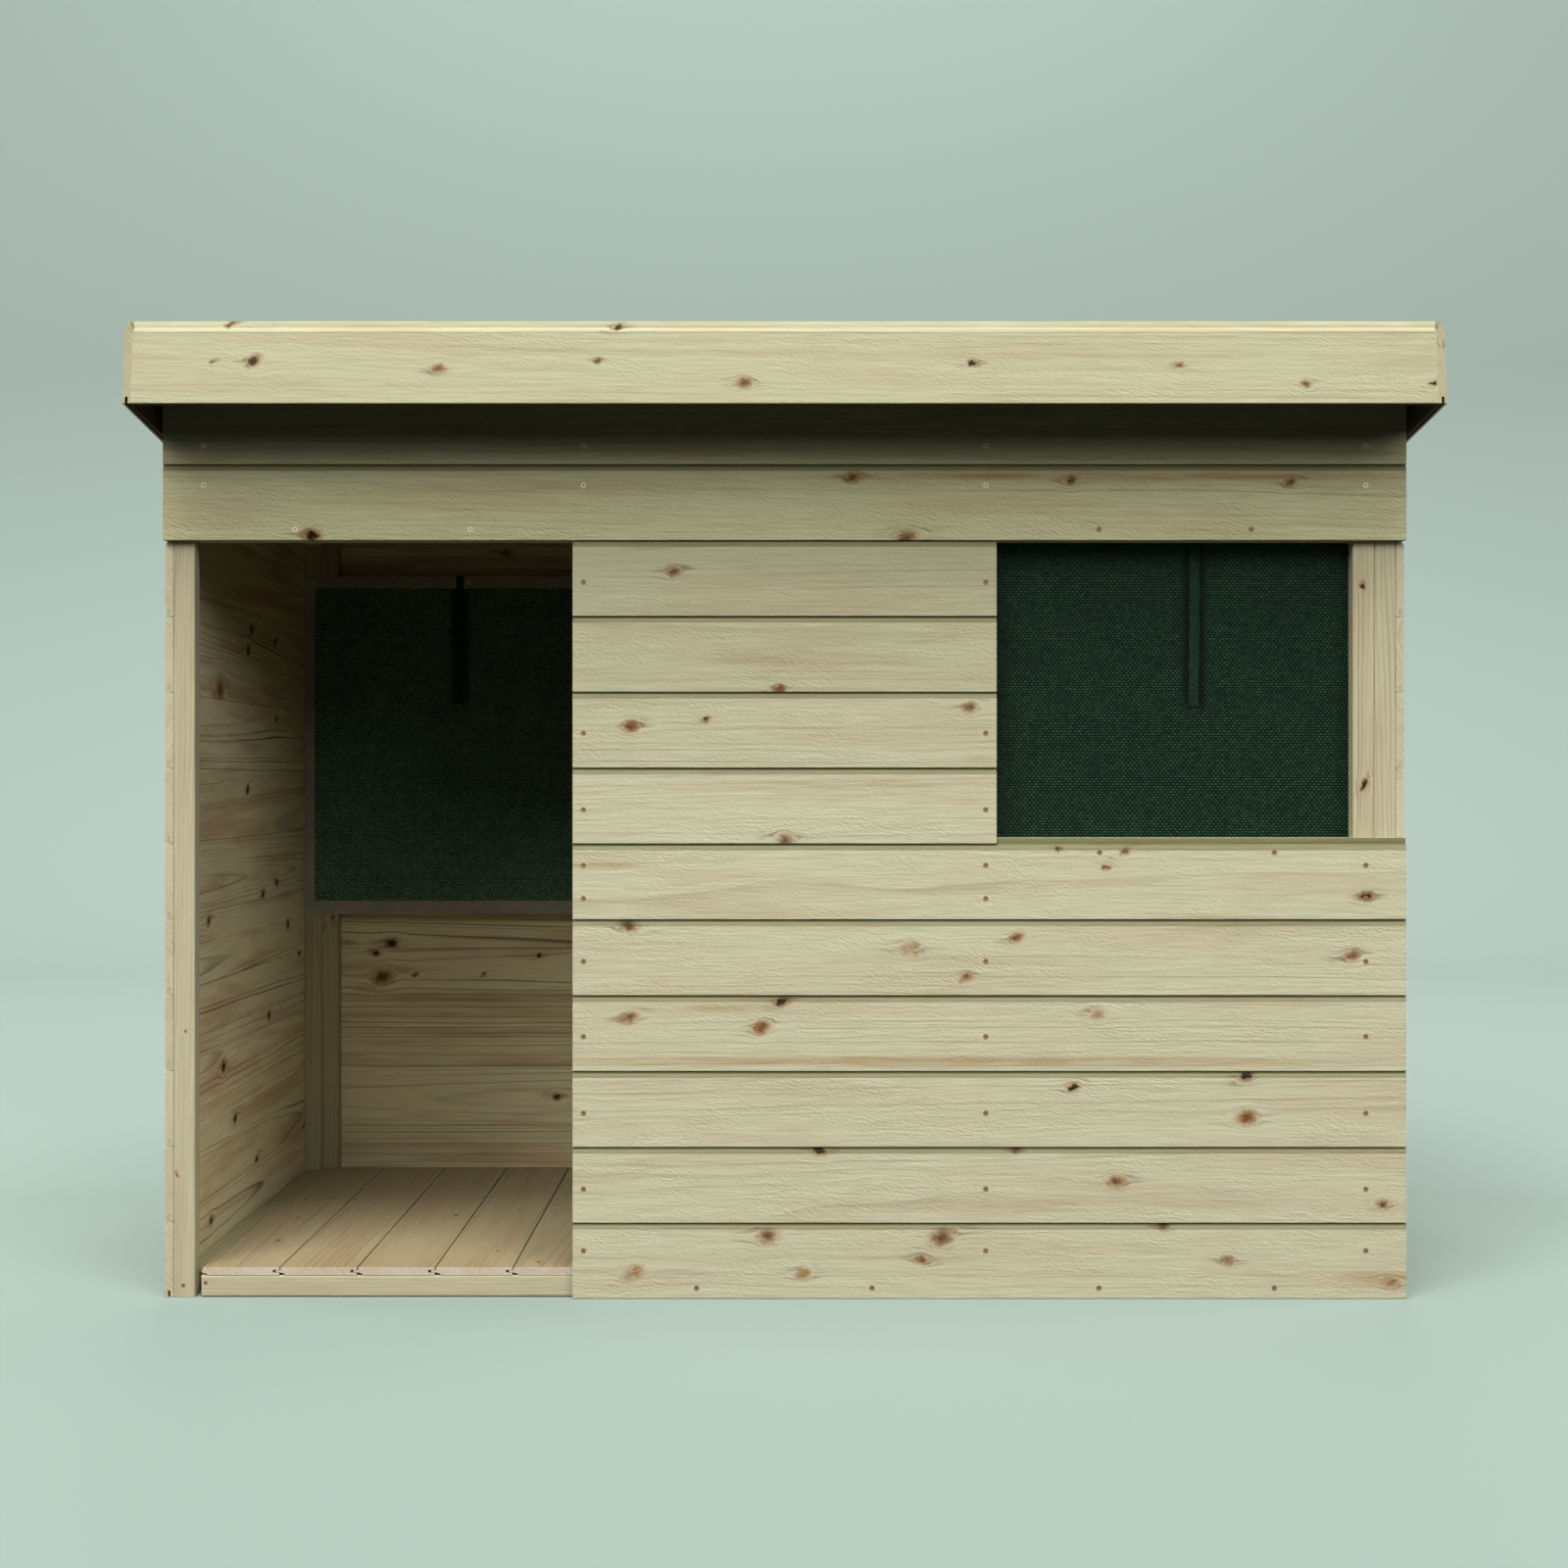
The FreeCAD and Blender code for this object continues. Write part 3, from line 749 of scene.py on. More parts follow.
def place(mesh: bpy.types.Mesh, slot: str, nodes: list[str]) -> bpy.types.Object:
    """Put a finished mesh in the scene as a piece of the playhouse.

    Args:
        mesh: the mesh, with its place in its points.
        slot: the record's material slot; not used.
        nodes: CAD nodes that the piece stands for.

    Returns:
        The object at the origin.
    """
    mesh.update()
    mesh.shade_smooth()
    mesh.set_sharp_from_angle(angle=SHARP_ANGLE)
    piece = bpy.data.objects.new(mesh.name, mesh)
    bpy.context.scene.collection.objects.link(piece)
    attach(piece, BODY)
    if nodes:
        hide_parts(*nodes)
    log.info("%s: %d faces", piece.name, len(mesh.polygons))
    return piece


def new_mesh(name: str, points: np.ndarray, faces: list, cloth: bool = False) -> bpy.types.Mesh:
    """Make a mesh.

    Args:
        name: its name.
        points: its points.
        faces: lists of point numbers.
        cloth: it gets a UV map of x and z in metres.

    Returns:
        The mesh.
    """
    mesh = bpy.data.meshes.new(name)
    mesh.from_pydata(points, [], faces)
    if cloth:
        flat = points[np.concatenate([np.array(face) for face in faces])][:, [0, 2]]
        mesh.uv_layers.new(name="cloth").data.foreach_set("uv", flat.astype(np.float32).ravel())
    return mesh


def corners(node: str) -> tuple[np.ndarray, np.ndarray]:
    """A CAD node's lowest and highest corners as arrays."""
    low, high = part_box(node)
    return np.array(low), np.array(high)


def roof_trim(lower: float, push: np.ndarray) -> Trim:
    """Cut by the roof's underside, or by a plane below it.

    Args:
        lower: how far below, square to the slope.
        push: direction in which points go back.

    Returns:
        The cut.
    """
    low, high = corners("front_header_cladding")
    normal = np.array([0.0, np.sin(SLOPE), np.cos(SLOPE)])
    return Trim(normal, normal @ np.array([0.0, low[1], high[2]]) - lower, push)


@dataclass(frozen=True)
class Knot:
    """A knot where it shows on a wall, in millimetres: across the wall, up it, its radius, and how dark it is."""

    x: float
    z: float
    radius: float = 6.0
    dark: float = 0.55


@dataclass(frozen=True)
class Streak:
    """A warm band along the grain, in millimetres: middle, half length, half height and strength."""

    x: float
    z: float
    long: float
    high: float
    strength: float = 0.8


def grown_at(kind: type, *rows: tuple[float, ...]) -> tuple:
    """Make a knot or a streak of each row of its numbers."""
    return tuple(kind(*row) for row in rows)


def scatter(random: np.random.Generator, count: int, *spans: tuple[float, float] | float) -> list[tuple[float, ...]]:
    """Draw knots.

    Args:
        random: where the draws come from.
        count: number of knots.
        spans: for each number of a knot, its lowest and highest value, or the number itself.

    Returns:
        One row of numbers for each knot.
    """
    return [tuple(random.uniform(*s) if isinstance(s, tuple) else s for s in spans) for _ in range(count)]


FRONT_KNOTS = grown_at(
    Knot,
    (-698, 1127, 6.5, 0.95), (179, 1124, 8.5, 0.45), (100, 1213, 5, 0.5), (422, 1208, 5, 0.6), (747, 1206, 5, 0.6),
    (-163, 1074, 5.5, 0.4), (-8, 901, 4.5, 0.6), (-227, 845, 6, 0.6), (-117, 855, 3, 1), (274, 874, 5.5, 0.5),
    (1, 678, 7, 0.6), (404, 664, 3, 0.5), (474, 637, 3.5, 0.6), (501, 660, 4.5, 0.5), (-231, 551, 7.5, 0.65),
    (187, 518, 7, 0.1), (342, 533, 5.5, 0.4), (267, 475, 4.5, 0.4), (838, 507, 6, 0.3), (859, 594, 5, 0.9),
    (-228, 416, 6, 0.5), (-5, 439, 5, 0.9), (-33, 401, 6.5, 0.5), (462, 420, 5.5, 0.15), (682, 329, 6, 0.9),
    (426, 312, 5, 0.9), (682, 268, 7.5, 0.55), (51, 220, 5.5, 0.85), (342, 220, 3.5, 0.5), (490, 173, 6.5, 0.5),
    (883, 139, 5, 0.6), (559, 108, 4.5, 0.4), (-25, 93, 8.5, 0.6), (231, 90, 8.5, 0.55), (-225, 37, 7, 0.1),
    (202, 58, 5, 0.35), (27, 37, 5.5, 0.1), (653, 57, 5, 0.15), (896, 24, 6, 0.2),
)

FRONT_STREAKS = grown_at(
    Streak,
    (500, 1214, 560, 9, 1), (-300, 1196, 420, 14, 0.35), (0, 945, 260, 16, 0.45), (100, 760, 300, 14, 0.35),
    (-92, 429, 75, 7, 0.7), (300, 350, 800, 11, 0.75), (-270, 640, 70, 7, 0.7), (350, 140, 500, 16, 0.3),
    (880, 30, 90, 16, 0.7), (300, 500, 240, 12, 0.4),
)

LEFT_KNOTS = grown_at(
    Knot,
    (18, 1021, 4, 0.9), (-4, 985, 4.5, 0.9), (196, 1015, 3, 0.9), (-188, 911, 8, 0.3), (200, 876, 3, 0.9),
    (-8, 750, 4, 0.9), (202, 585, 3.5, 0.9), (101, 569, 4, 0.9), (-257, 545, 4, 0.7), (291, 505, 4, 0.9),
    (384, 445, 4, 0.9), (145, 354, 4, 0.9), (-165, 304, 5, 0.9), (-92, 209, 4.5, 0.9), (-241, 71, 3.5, 0.9),
    (53, 113, 4, 0.9), (-300, 1190, 5, 0.6), (150, 1240, 5, 0.5),
)

BACK_KNOTS = grown_at(
    Knot,
    (-747, 457, 7.5, 0.9), (-776, 439, 5, 0.8), (-764, 393, 10, 0.7), (-702, 398, 3.5, 0.4), (-570, 399, 3, 0.5),
    (-467, 434, 3, 0.9), (-433, 166, 5, 0.8), (-250, 300, 6, 0.5), (160, 262, 7, 0.5), (480, 420, 6, 0.7),
    (700, 530, 5, 0.5), (-120, 510, 6.5, 0.6), (330, 620, 4.5, 0.9), (820, 70, 5.5, 0.5), (60, 50, 6, 0.4),
    (590, 160, 5, 0.9), (120, 770, 6, 0.5), (760, 830, 5.5, 0.6), (-60, 930, 5, 0.8), (420, 1000, 6.5, 0.4),
    (240, 1150, 5, 0.6), (-530, 1200, 6, 0.5),
)

BACK_STREAKS = grown_at(
    Streak,
    (-560, 354, 420, 17, 0.9), (-560, 322, 420, 13, 0.7), (300, 500, 400, 14, 0.5), (-200, 700, 500, 12, 0.4),
)


@dataclass
class BoardWall:
    """One wall's cladding: courses of shiplap laid from the ground up, all to the same lines."""

    wall: Wall
    pieces: tuple[str, ...]
    knots: tuple[Knot, ...] = ()
    streaks: tuple[Streak, ...] = ()
    seed: int = 0
    knot_scale: float = 1.2
    knot_margin: float = 80 * MM
    below_roof: float = 200 * MM
    tongue: float = 10 * MM
    roof_cuts: int = 24

    def axes(self, low: np.ndarray, high: np.ndarray) -> tuple[np.ndarray, np.ndarray, np.ndarray, float]:
        """Find where the courses start and which way they run and face.

        Args:
            low: the node's lowest corner.
            high: the node's highest corner.

        Returns:
            The outer face's first bottom corner, the direction along, the direction inwards and the length.
        """
        sides = {Wall.FRONT: (X, Y), Wall.BACK: (X, -Y), Wall.LEFT: (Y, X), Wall.RIGHT: (Y, -X)}
        along, inward = sides[self.wall]
        return np.where(inward < 0, high, low) * (1, 1, 0), along, inward, along @ (high - low)

    def growth(self, course: int, run: int) -> list[Knot]:
        """Scatter a few knots over one course of a wall that has no list of them.

        Args:
            course: number of the course.
            run: number of the piece of the wall.

        Returns:
            The knots.
        """
        random = np.random.default_rng(self.seed * 1000 + course * 10 + run)
        span = 900 if self.wall in (Wall.FRONT, Wall.BACK) else 440
        count = random.integers(1, 5) if span > 500 else random.integers(0, 3)
        high = (course + 0.12) * COURSE / MM, (course + 0.88) * COURSE / MM
        return [Knot(*row) for row in scatter(random, count, (-span, span), high, (3, 7.5), (0.2, 0.95))]

    def build(self, finishes: Finishes) -> None:
        """Lay the courses of each piece of the wall.

        Args:
            finishes: the materials.
        """
        for run, node in enumerate(self.pieces):
            low, high = corners(node)
            origin, along, inward, length = self.axes(low, high)
            header = "header" in node
            # The header boards take the shaded copy of the sawn finish: painted shade under the eaves.
            outer = finishes.eaves if header else finishes.sawn
            joinery = Joinery(node, "cladding_pine", [outer, finishes.inner, finishes.cut_end])
            side = origin @ along
            for course in range(int(round(low[2] / COURSE)), int(np.ceil(high[2] / COURSE - 1e-6))):
                foot = course * COURSE
                bottom = origin + Z * foot
                listed = [k for k in self.knots if foot <= k.z * MM < foot + COURSE]
                listed = listed or ([] if self.knots else self.growth(course, run))
                knots = [
                    (k.x * MM - side, k.z * MM - foot, self.knot_scale * k.radius * MM, k.dark)
                    for k in listed
                    if -self.knot_margin < k.x * MM - side < length + self.knot_margin
                ]
                streaks = [
                    (s.x * MM - side, s.z * MM - foot, s.long * MM, s.high * MM, s.strength)
                    for s in self.streaks
                    if foot <= s.z * MM < foot + COURSE
                ]
                # Painted shade of the overhang: the front boards are painted a little darker than the other walls,
                # darker still the nearer they lie to the eaves; the header boards get a fixed painted shade.
                green = None
                if self.wall is Wall.FRONT:
                    green = 0.89 if header else max(0.69, 0.86 - 0.05 * max(course - 6, 0))
                profile, seed = shiplap_profile(COURSE), self.seed * 100 + course
                timber = Timber(bottom, along, Z, inward, length, profile, seed, knots, streaks, shade=green)
                if foot + COURSE + self.tongue > high[2] - self.below_roof:
                    timber.trims, timber.extra_cuts = (roof_trim(0.0, Z),), self.roof_cuts
                    if self.wall in (Wall.LEFT, Wall.RIGHT):
                        timber.length = min(length, (high[2] - 1 * MM - bottom[2]) / np.tan(SLOPE))
                joinery.timbers.append(timber)
            joinery.make()


@dataclass
class Framing:
    """The planed studs, posts and rails inside the cladding."""

    rail_below: float = 32 * MM
    uprights: tuple[str, ...] = tuple(
        "front_door_stud front_pier_stud front_window_stud front_header_stud left_front_post right_front_post "
        "left_back_post right_back_post back_corner_stud back_window_stud back_middle_stud back_end_stud".split()
    )
    rails: tuple[str, ...] = tuple(
        "front_door_head_rail front_window_head_rail front_sill_rail front_top_rail left_bottom_rail "
        "right_bottom_rail back_bottom_rail back_sill_rail back_head_rail back_top_rail".split()
    )
    sloping: tuple[str, ...] = ("left_top_rail", "right_top_rail")
    # Painted shade: the bottom rails and the timbers at the back, which stand in the room's shadow, are painted darker.
    shades: tuple[tuple[str, float], ...] = (("bottom_rail", 0.6), ("back", 0.72), ("", 0.98))
    window_stud_knots: tuple[tuple[float, float, float, float], ...] = (
        (1055 * MM, 14 * MM, 4 * MM, 0.9),
        (760 * MM, 17 * MM, 5.5 * MM, 0.9),
    )

    def knots(self, node: str, low: np.ndarray, length: float, wide: float) -> list[tuple[float, float, float, float]]:
        """Give the window studs the two knots that show, and the others one or two small ones.

        Args:
            node: the timber's name.
            low: its lowest corner.
            length: its length.
            wide: its size across.

        Returns:
            Knots as (along, across, radius, darkness).
        """
        if node == "front_window_stud":
            return [(up - low[2], *rest) for up, *rest in self.window_stud_knots]
        random = np.random.default_rng(sum(map(ord, node)))
        return scatter(random, int(length * 2.2), (0.05 * length, 0.95 * length), (0, wide), (2 * MM, 4 * MM), 0.6)

    def timber(self, node: str) -> Timber:
        """Work out one timber from its CAD node's box.

        Args:
            node: the CAD node.

        Returns:
            The timber.
        """
        low, high = corners(node)
        size = high - low
        seed = sum(map(ord, node)) * 7
        shade = next(shade for part, shade in self.shades if part in node)
        if node in self.sloping:
            drop = np.array([0.0, 1.0, -np.tan(SLOPE)])
            tall = self.rail_below / np.cos(SLOPE)
            origin = np.array([low[0], low[1], high[2] - tall])
            profile = planed_profile(size[0], tall)
            knots = self.knots(node, low, size[1], size[0])
            return Timber(origin, drop, X, Z, size[1], profile, seed, knots, shade=shade)
        if node in self.uprights:
            profile = planed_profile(size[0], size[1])
            knots = self.knots(node, low, size[2], size[0])
            trims = (roof_trim(self.rail_below, Z),)
            return Timber(low, Z, X, Y, size[2], profile, seed, knots, trims=trims, shade=shade)
        run, side = (X, Y) if size[0] > size[1] else (Y, X)
        length, wide = (size[0], size[1]) if size[0] > size[1] else (size[1], size[0])
        profile = planed_profile(size[2], wide)
        knots = self.knots(node, low, length, size[2])
        return Timber(low, run, Z, side, length, profile, seed, knots, trims=(roof_trim(0.0, Z),), shade=shade)

    def build(self, finishes: Finishes) -> None:
        """Make every framing piece.

        Args:
            finishes: the materials.
        """
        for node in self.uprights + self.rails + self.sloping:
            joinery = Joinery(node, "framing_pine", [finishes.framing])
            joinery.timbers.append(self.timber(node))
            joinery.make()


@dataclass
class Floor:
    """Floor boards laid front to back, scooped faces down, on three bearers; a knot's z is its place front to back."""

    cover: float = 115.2 * MM
    knots: tuple[Knot, ...] = grown_at(
        Knot,
        (-827, 76, 3, 0.8), (-778, 86, 3.5, 0.7), (-804, -85, 3, 0.9), (-794, -266, 4, 0.9), (-584, 159, 4, 0.5),
        (-546, -68, 3.5, 0.9), (-667, -241, 3, 0.8), (-445, -25, 3.5, 0.9), (-440, -340, 3.5, 0.9),
        (-521, 93, 3, 0.7), (-383, 128, 3, 0.9), (-368, -420, 4, 0.8), (-738, 70, 3.5, 0.4), (-623, 70, 3, 0.6),
    )

    def build(self, finishes: Finishes) -> None:
        """Lay the boards and the bearers.

        Args:
            finishes: the materials.
        """
        low, high = corners("floor_boards")
        boards = Joinery("floor_boards", "floor_pine", [finishes.floor_end, finishes.floor])
        section = shiplap_profile(self.cover, sawn_front=False, back_gap=1.8 * MM, reach=5.5, steep=0.2)
        for number in range(int(round((high[0] - low[0]) / self.cover))):
            edge = high[0] - number * self.cover
            origin = np.array([edge, low[1], low[2]])
            knots = [
                (k.z * MM - low[1], edge - k.x * MM, k.radius * MM, k.dark)
                for k in self.knots
                if 0 <= edge - k.x * MM < self.cover
            ]
            board = Timber(origin, Y, -X, Z, high[1] - low[1], section, 700 + number, knots)
            board.trims = (Trim(-X, -low[0], -X),)
            boards.timbers.append(board)
        boards.make()

        low, high = corners("floor_bearers")
        bearers = Joinery("floor_bearers", "framing_pine", [finishes.framing])
        wide = high[2] - low[2]
        middle = (low[1] + high[1]) / 2
        for number, start in enumerate((low[1], middle - wide / 2, high[1] - wide)):
            origin = np.array([low[0], start, low[2]])
            bearer = Timber(origin, X, Z, Y, high[0] - low[0], planed_profile(wide, wide), 760 + number)
            bearers.timbers.append(bearer)
        bearers.make()


@dataclass
class Roof:
    """Boards down the slope on four rails, and a fascia board along each edge; places go down from the front wall."""

    rail_starts: tuple[float, ...] = (-100.8 * MM, 0.0, 911.05 * MM, 1013.05 * MM)
    rail_wide: float = 32 * MM
    rail_high: float = 44 * MM
    fascia_low: float = -66 * MM
    fascia_high: float = 122 * MM
    fascia_knots: tuple[Knot, ...] = grown_at(
        Knot,
        (-792, 118, 4.5, 0.6), (-757, 62, 7, 0.8), (-816, 61, 2.5, 0.6), (-494, 51, 6, 0.6), (-267, 62, 3, 0.7),
        (-239, 112, 5, 0.85), (-57, 31, 7, 0.5), (267, 58, 4.5, 0.85), (562, 56, 3.5, 0.5), (742, 29, 5, 0.5),
        (923, 29, 4, 0.9),
    )

    def __post_init__(self) -> None:
        """Set the roof's own directions: down the slope, and square to it."""
        self.down = np.array([0.0, np.cos(SLOPE), -np.sin(SLOPE)])
        self.out = np.array([0.0, np.sin(SLOPE), np.cos(SLOPE)])
        low, high = corners("front_header_cladding")
        self.ridge = np.array([0.0, low[1], high[2]])
        start, end = corners("left_fascia")
        self.length = (end[1] - start[1] - self.fascia_high * np.sin(SLOPE)) / np.cos(SLOPE)
        self.start = (start[1] - self.ridge[1] - self.fascia_low * np.sin(SLOPE)) / np.cos(SLOPE)

    def build(self, finishes: Finishes) -> None:
        """Lay the rails, the boards and the fascias.

        Args:
            finishes: the materials.
        """
        half = corners("roof_boards")[1][0]
        rails = Joinery("roof_rails", "framing_pine", [finishes.framing])
        for number, place_down in enumerate(self.rail_starts):
            origin = self.ridge + self.down * place_down - X * half
            profile = planed_profile(self.rail_wide, self.rail_high)
            rails.timbers.append(Timber(origin, X, self.down, self.out, 2 * half, profile, 800 + number))
        rails.make()

        boards = Joinery("roof_boards", "roof_pine", [finishes.under, finishes.sawn, finishes.cut_end])
        run = self.length - 2 * BOARD_THICK
        corner = self.ridge + self.down * (self.start + BOARD_THICK) + self.out * self.rail_high
        spread = (0.01, 0.1), (3 * MM, 7 * MM)
        for number in range(int(np.ceil(2 * half / COURSE))):
            origin = corner + X * (number * COURSE - half)
            random = np.random.default_rng(850 + number)
            knots = scatter(random, 3, (0, run), *spread, (0.3, 0.9))
            profile = shiplap_profile(COURSE, back_gap=1.8 * MM)
            board = Timber(origin, self.down, X, self.out, run, profile, 820 + number, knots)
            # Painted shade: the roof boards are painted dark so that the strong top light does not burn out their tops.
            board.trims, board.shade = (Trim(X, half, X),), 0.42 + 0.05 * random.random()
            boards.timbers.append(board)
        boards.make()

        bottom = self.ridge + self.out * self.fascia_low + self.down * self.start
        across, past = X * half, X * (half + BOARD_THICK)
        edges = {
            "front_fascia": (bottom - across, X, self.down, 2 * half),
            "back_fascia": (bottom + self.down * self.length - across, X, -self.down, 2 * half),
            "left_fascia": (bottom - past, self.down, X, self.length),
            "right_fascia": (bottom + past, self.down, -X, self.length),
        }
        for number, (node, (origin, along, inward, length)) in enumerate(edges.items()):
            fascia = Joinery(node, "fascia_pine", [finishes.sawn, finishes.under, finishes.cut_end])
            if node == "front_fascia":
                knots = [(k.x * MM + half, k.z * MM, k.radius * MM, k.dark) for k in self.fascia_knots]
            else:
                knots = scatter(np.random.default_rng(900 + number), 6, (0, length), *spread, 0.6)
            section = shiplap_profile(COURSE + 1 * MM, unshaded_scoop=True)
            # Painted shade: the fascias are painted darker to offset the extra top light they catch as they tilt up.
            board = Timber(origin, along, self.out, inward, length, section, 880 + number, knots, shade=0.7)
            fascia.timbers.append(board)
            fascia.make()


@dataclass
class Nails:
    """Round nail heads driven into one side of the house; their places are across and up it, in millimetres."""

    name: str
    places: tuple[tuple[float, float], ...]
    out: float
    quarter: int = 0
    radius: float = 4.1 * MM
    sides: int = 14

    def build(self, finish: bpy.types.Material, slot: str) -> None:
        """Turn one section round each nail's axis.

        A point is place + ring radius * (cosine, sine) in the wall's plane + ring height outwards. The whole is then
        turned about the upright axis by quarter turns.

        Args:
            finish: the material.
            slot: the record's material slot.
        """
        ring = np.array([0.30, 0.62, 0.86, 1.0, 1.0]) * self.radius
        height = np.array([0.15, 0.22, 0.5, 0.25, -1.2]) * MM
        turn = np.linspace(0, 2 * np.pi, self.sides, endpoint=False)
        centre = np.array(self.places) * MM
        x = centre[:, 0, None, None] + ring[None, :, None] * np.cos(turn)
        z = centre[:, 1, None, None] + ring[None, :, None] * np.sin(turn)
        y = -self.out - np.broadcast_to(height[None, :, None], x.shape)
        cosine, sine = np.cos(self.quarter * np.pi / 2), np.sin(self.quarter * np.pi / 2)
        points = np.stack([cosine * x - sine * y, sine * x + cosine * y, z], -1).reshape(-1, 3)
        nail = np.arange(len(centre))[:, None] * len(ring) * self.sides
        quads, top, foot = tube(len(ring), self.sides, flip=True)
        quads = (nail[:, :, None] + np.roll(quads, 1, axis=1)).reshape(-1, 4)
        mesh = new_mesh(self.name, points, quads.tolist() + (nail + top).tolist() + (nail + foot).tolist())
        layer = mesh.attributes.new("radius", "FLOAT", "POINT")
        share = np.tile(np.repeat(ring / self.radius, self.sides), len(centre))
        layer.data.foreach_set("value", share.astype(np.float32))
        mesh.materials.append(finish)
        place(mesh, slot, [])


@dataclass
class Blind:
    """A cloth blind nailed inside a window, with a tape hem on the room side and a tie strap."""

    cloth_node: str
    strap_node: str
    room_side: float
    cloth_thick: float = 0.6 * MM
    hem_thick: float = 0.5 * MM
    hem_side: float = 18.5 * MM
    hem_top: float = 23 * MM
    hem_bottom: float = 25 * MM
    ripple: float = 0.45 * MM

    def wave(self, x: np.ndarray, z: np.ndarray) -> np.ndarray:
        """Depth of the cloth's slack: soft folds that fade towards the nailed top.

        Sum of two sines across, each turned a little by height, times one minus the share of height squared.

        Args:
            x: places across, in metres.
            z: places up, in metres.

        Returns:
            Offsets in depth, in metres.
        """
        low, high = corners(self.cloth_node)
        share = (z - low[2]) / (high[2] - low[2])
        folds = 0.6 * np.sin(x * 21 + z * 3.0) + 0.4 * np.sin(x * 47 - z * 7.0 + 1.0)
        return self.ripple * folds * (1 - 0.8 * share**2)

    def strap_painted_shadow(self, cloth: bpy.types.Mesh) -> np.ndarray:
        """Find how far each point lies in the painted shadow that runs down both sides of the strap.

        A bell curve across either side, 11 mm from the strap's middle, faded out past its lower end.

        Args:
            cloth: the cloth's mesh.

        Returns:
            Shares from 0 to 1, one for each point.
        """
        low, high = corners(self.strap_node)
        spot = np.zeros(len(cloth.vertices) * 3, np.float32)
        cloth.vertices.foreach_get("co", spot)
        x, z = spot.reshape(-1, 3)[:, 0], spot.reshape(-1, 3)[:, 2]
        aside = np.abs(x - (low[0] + high[0]) / 2) - 11 * MM
        reach = np.clip((z - low[2] + 12 * MM) / (20 * MM), 0.0, 1.0)
        return (np.exp(-((aside / (7 * MM)) ** 2)) * reach).astype(np.float32)

    def patch(
        self, name: str, span: tuple[float, float, float, float], cells: tuple[int, int], depth: float, thick: float
    ) -> bpy.types.Mesh:
        """Make a closed thin sheet over a rectangle of the wall, following the cloth's wave.

        Points are (x, depth + wave(x, z) +- half the thickness, z) on a grid of x and z.

        Args:
            name: the mesh's name.
            span: lowest x, highest x, lowest z, highest z.
            cells: number of cells across and up.
            depth: place of the sheet's middle.
            thick: its thickness.

        Returns:
            The mesh with its UV map in metres.
        """
        across, up = cells[0] + 1, cells[1] + 1
        x, z = np.meshgrid(np.linspace(span[0], span[1], across), np.linspace(span[2], span[3], up))
        middle = depth + self.wave(x, z)
        sides = [np.stack([x, middle + sign * thick / 2, z], -1).reshape(-1, 3) for sign in (-1, 1)]
        grid = np.arange(across * up).reshape(up, across)
        front = np.stack([grid[:-1, :-1], grid[:-1, 1:], grid[1:, 1:], grid[1:, :-1]], -1).reshape(-1, 4)
        total = across * up
        rim = np.concatenate([grid[0], grid[1:, -1], grid[-1, -2::-1], grid[-2:0:-1, 0]])
        after = np.roll(rim, -1)
        edge = np.stack([rim, rim + total, after + total, after], -1)
        faces = np.concatenate([front, front[:, ::-1] + total, edge])
        return new_mesh(name, np.concatenate(sides), faces.tolist(), cloth=True)

    def build(self, finishes: Finishes) -> None:
        """Args:
            finishes: the materials.
        """
        low, high = corners(self.cloth_node)
        middle = (low[1] + high[1]) / 2 - self.room_side * 0.35 * MM
        x0, x1, z0, z1 = low[0], high[0], low[2], high[2]
        cloth = self.patch(self.cloth_node + "_cloth", (x0, x1, z0, z1), (200, 72), middle, self.cloth_thick)
        cloth.materials.append(finishes.cloth)
        cloth.materials.append(finishes.cloth_inside_painted_light)
        facing = np.zeros(len(cloth.polygons) * 3, np.float32)
        cloth.polygons.foreach_get("normal", facing)
        cloth.attributes.new("strap_painted_shadow", "FLOAT", "POINT").data.foreach_set("value", self.strap_painted_shadow(cloth))
        inside = (facing.reshape(-1, 3)[:, 1] * self.room_side > 0.5).astype(np.int32)
        cloth.polygons.foreach_set("material_index", inside)
        cloth_piece = place(cloth, "blind_cloth", [self.cloth_node])

        hem_depth = middle + self.room_side * (self.cloth_thick + self.hem_thick) / 2
        foot, head = z0 + self.hem_bottom, z1 - self.hem_top
        strips = {
            "left": ((x0, x0 + self.hem_side, foot, head), (2, 48)),
            "right": ((x1 - self.hem_side, x1, foot, head), (2, 48)),
            "top": ((x0, x1, head, z1), (72, 2)),
            "bottom": ((x0, x1, z0, foot), (72, 2)),
        }
        for side, (span, cells) in strips.items():
            mesh = self.patch(f"{self.cloth_node}_hem_{side}", span, cells, hem_depth, self.hem_thick)
            mesh.materials.append(finishes.hem)
            place(mesh, "blind_cloth", [])

        low, high = corners(self.strap_node)
        strap = self.strap(low, high)
        strap.materials.append(finishes.strap)
        strap_piece = place(strap, "strap_webbing", [self.strap_node])

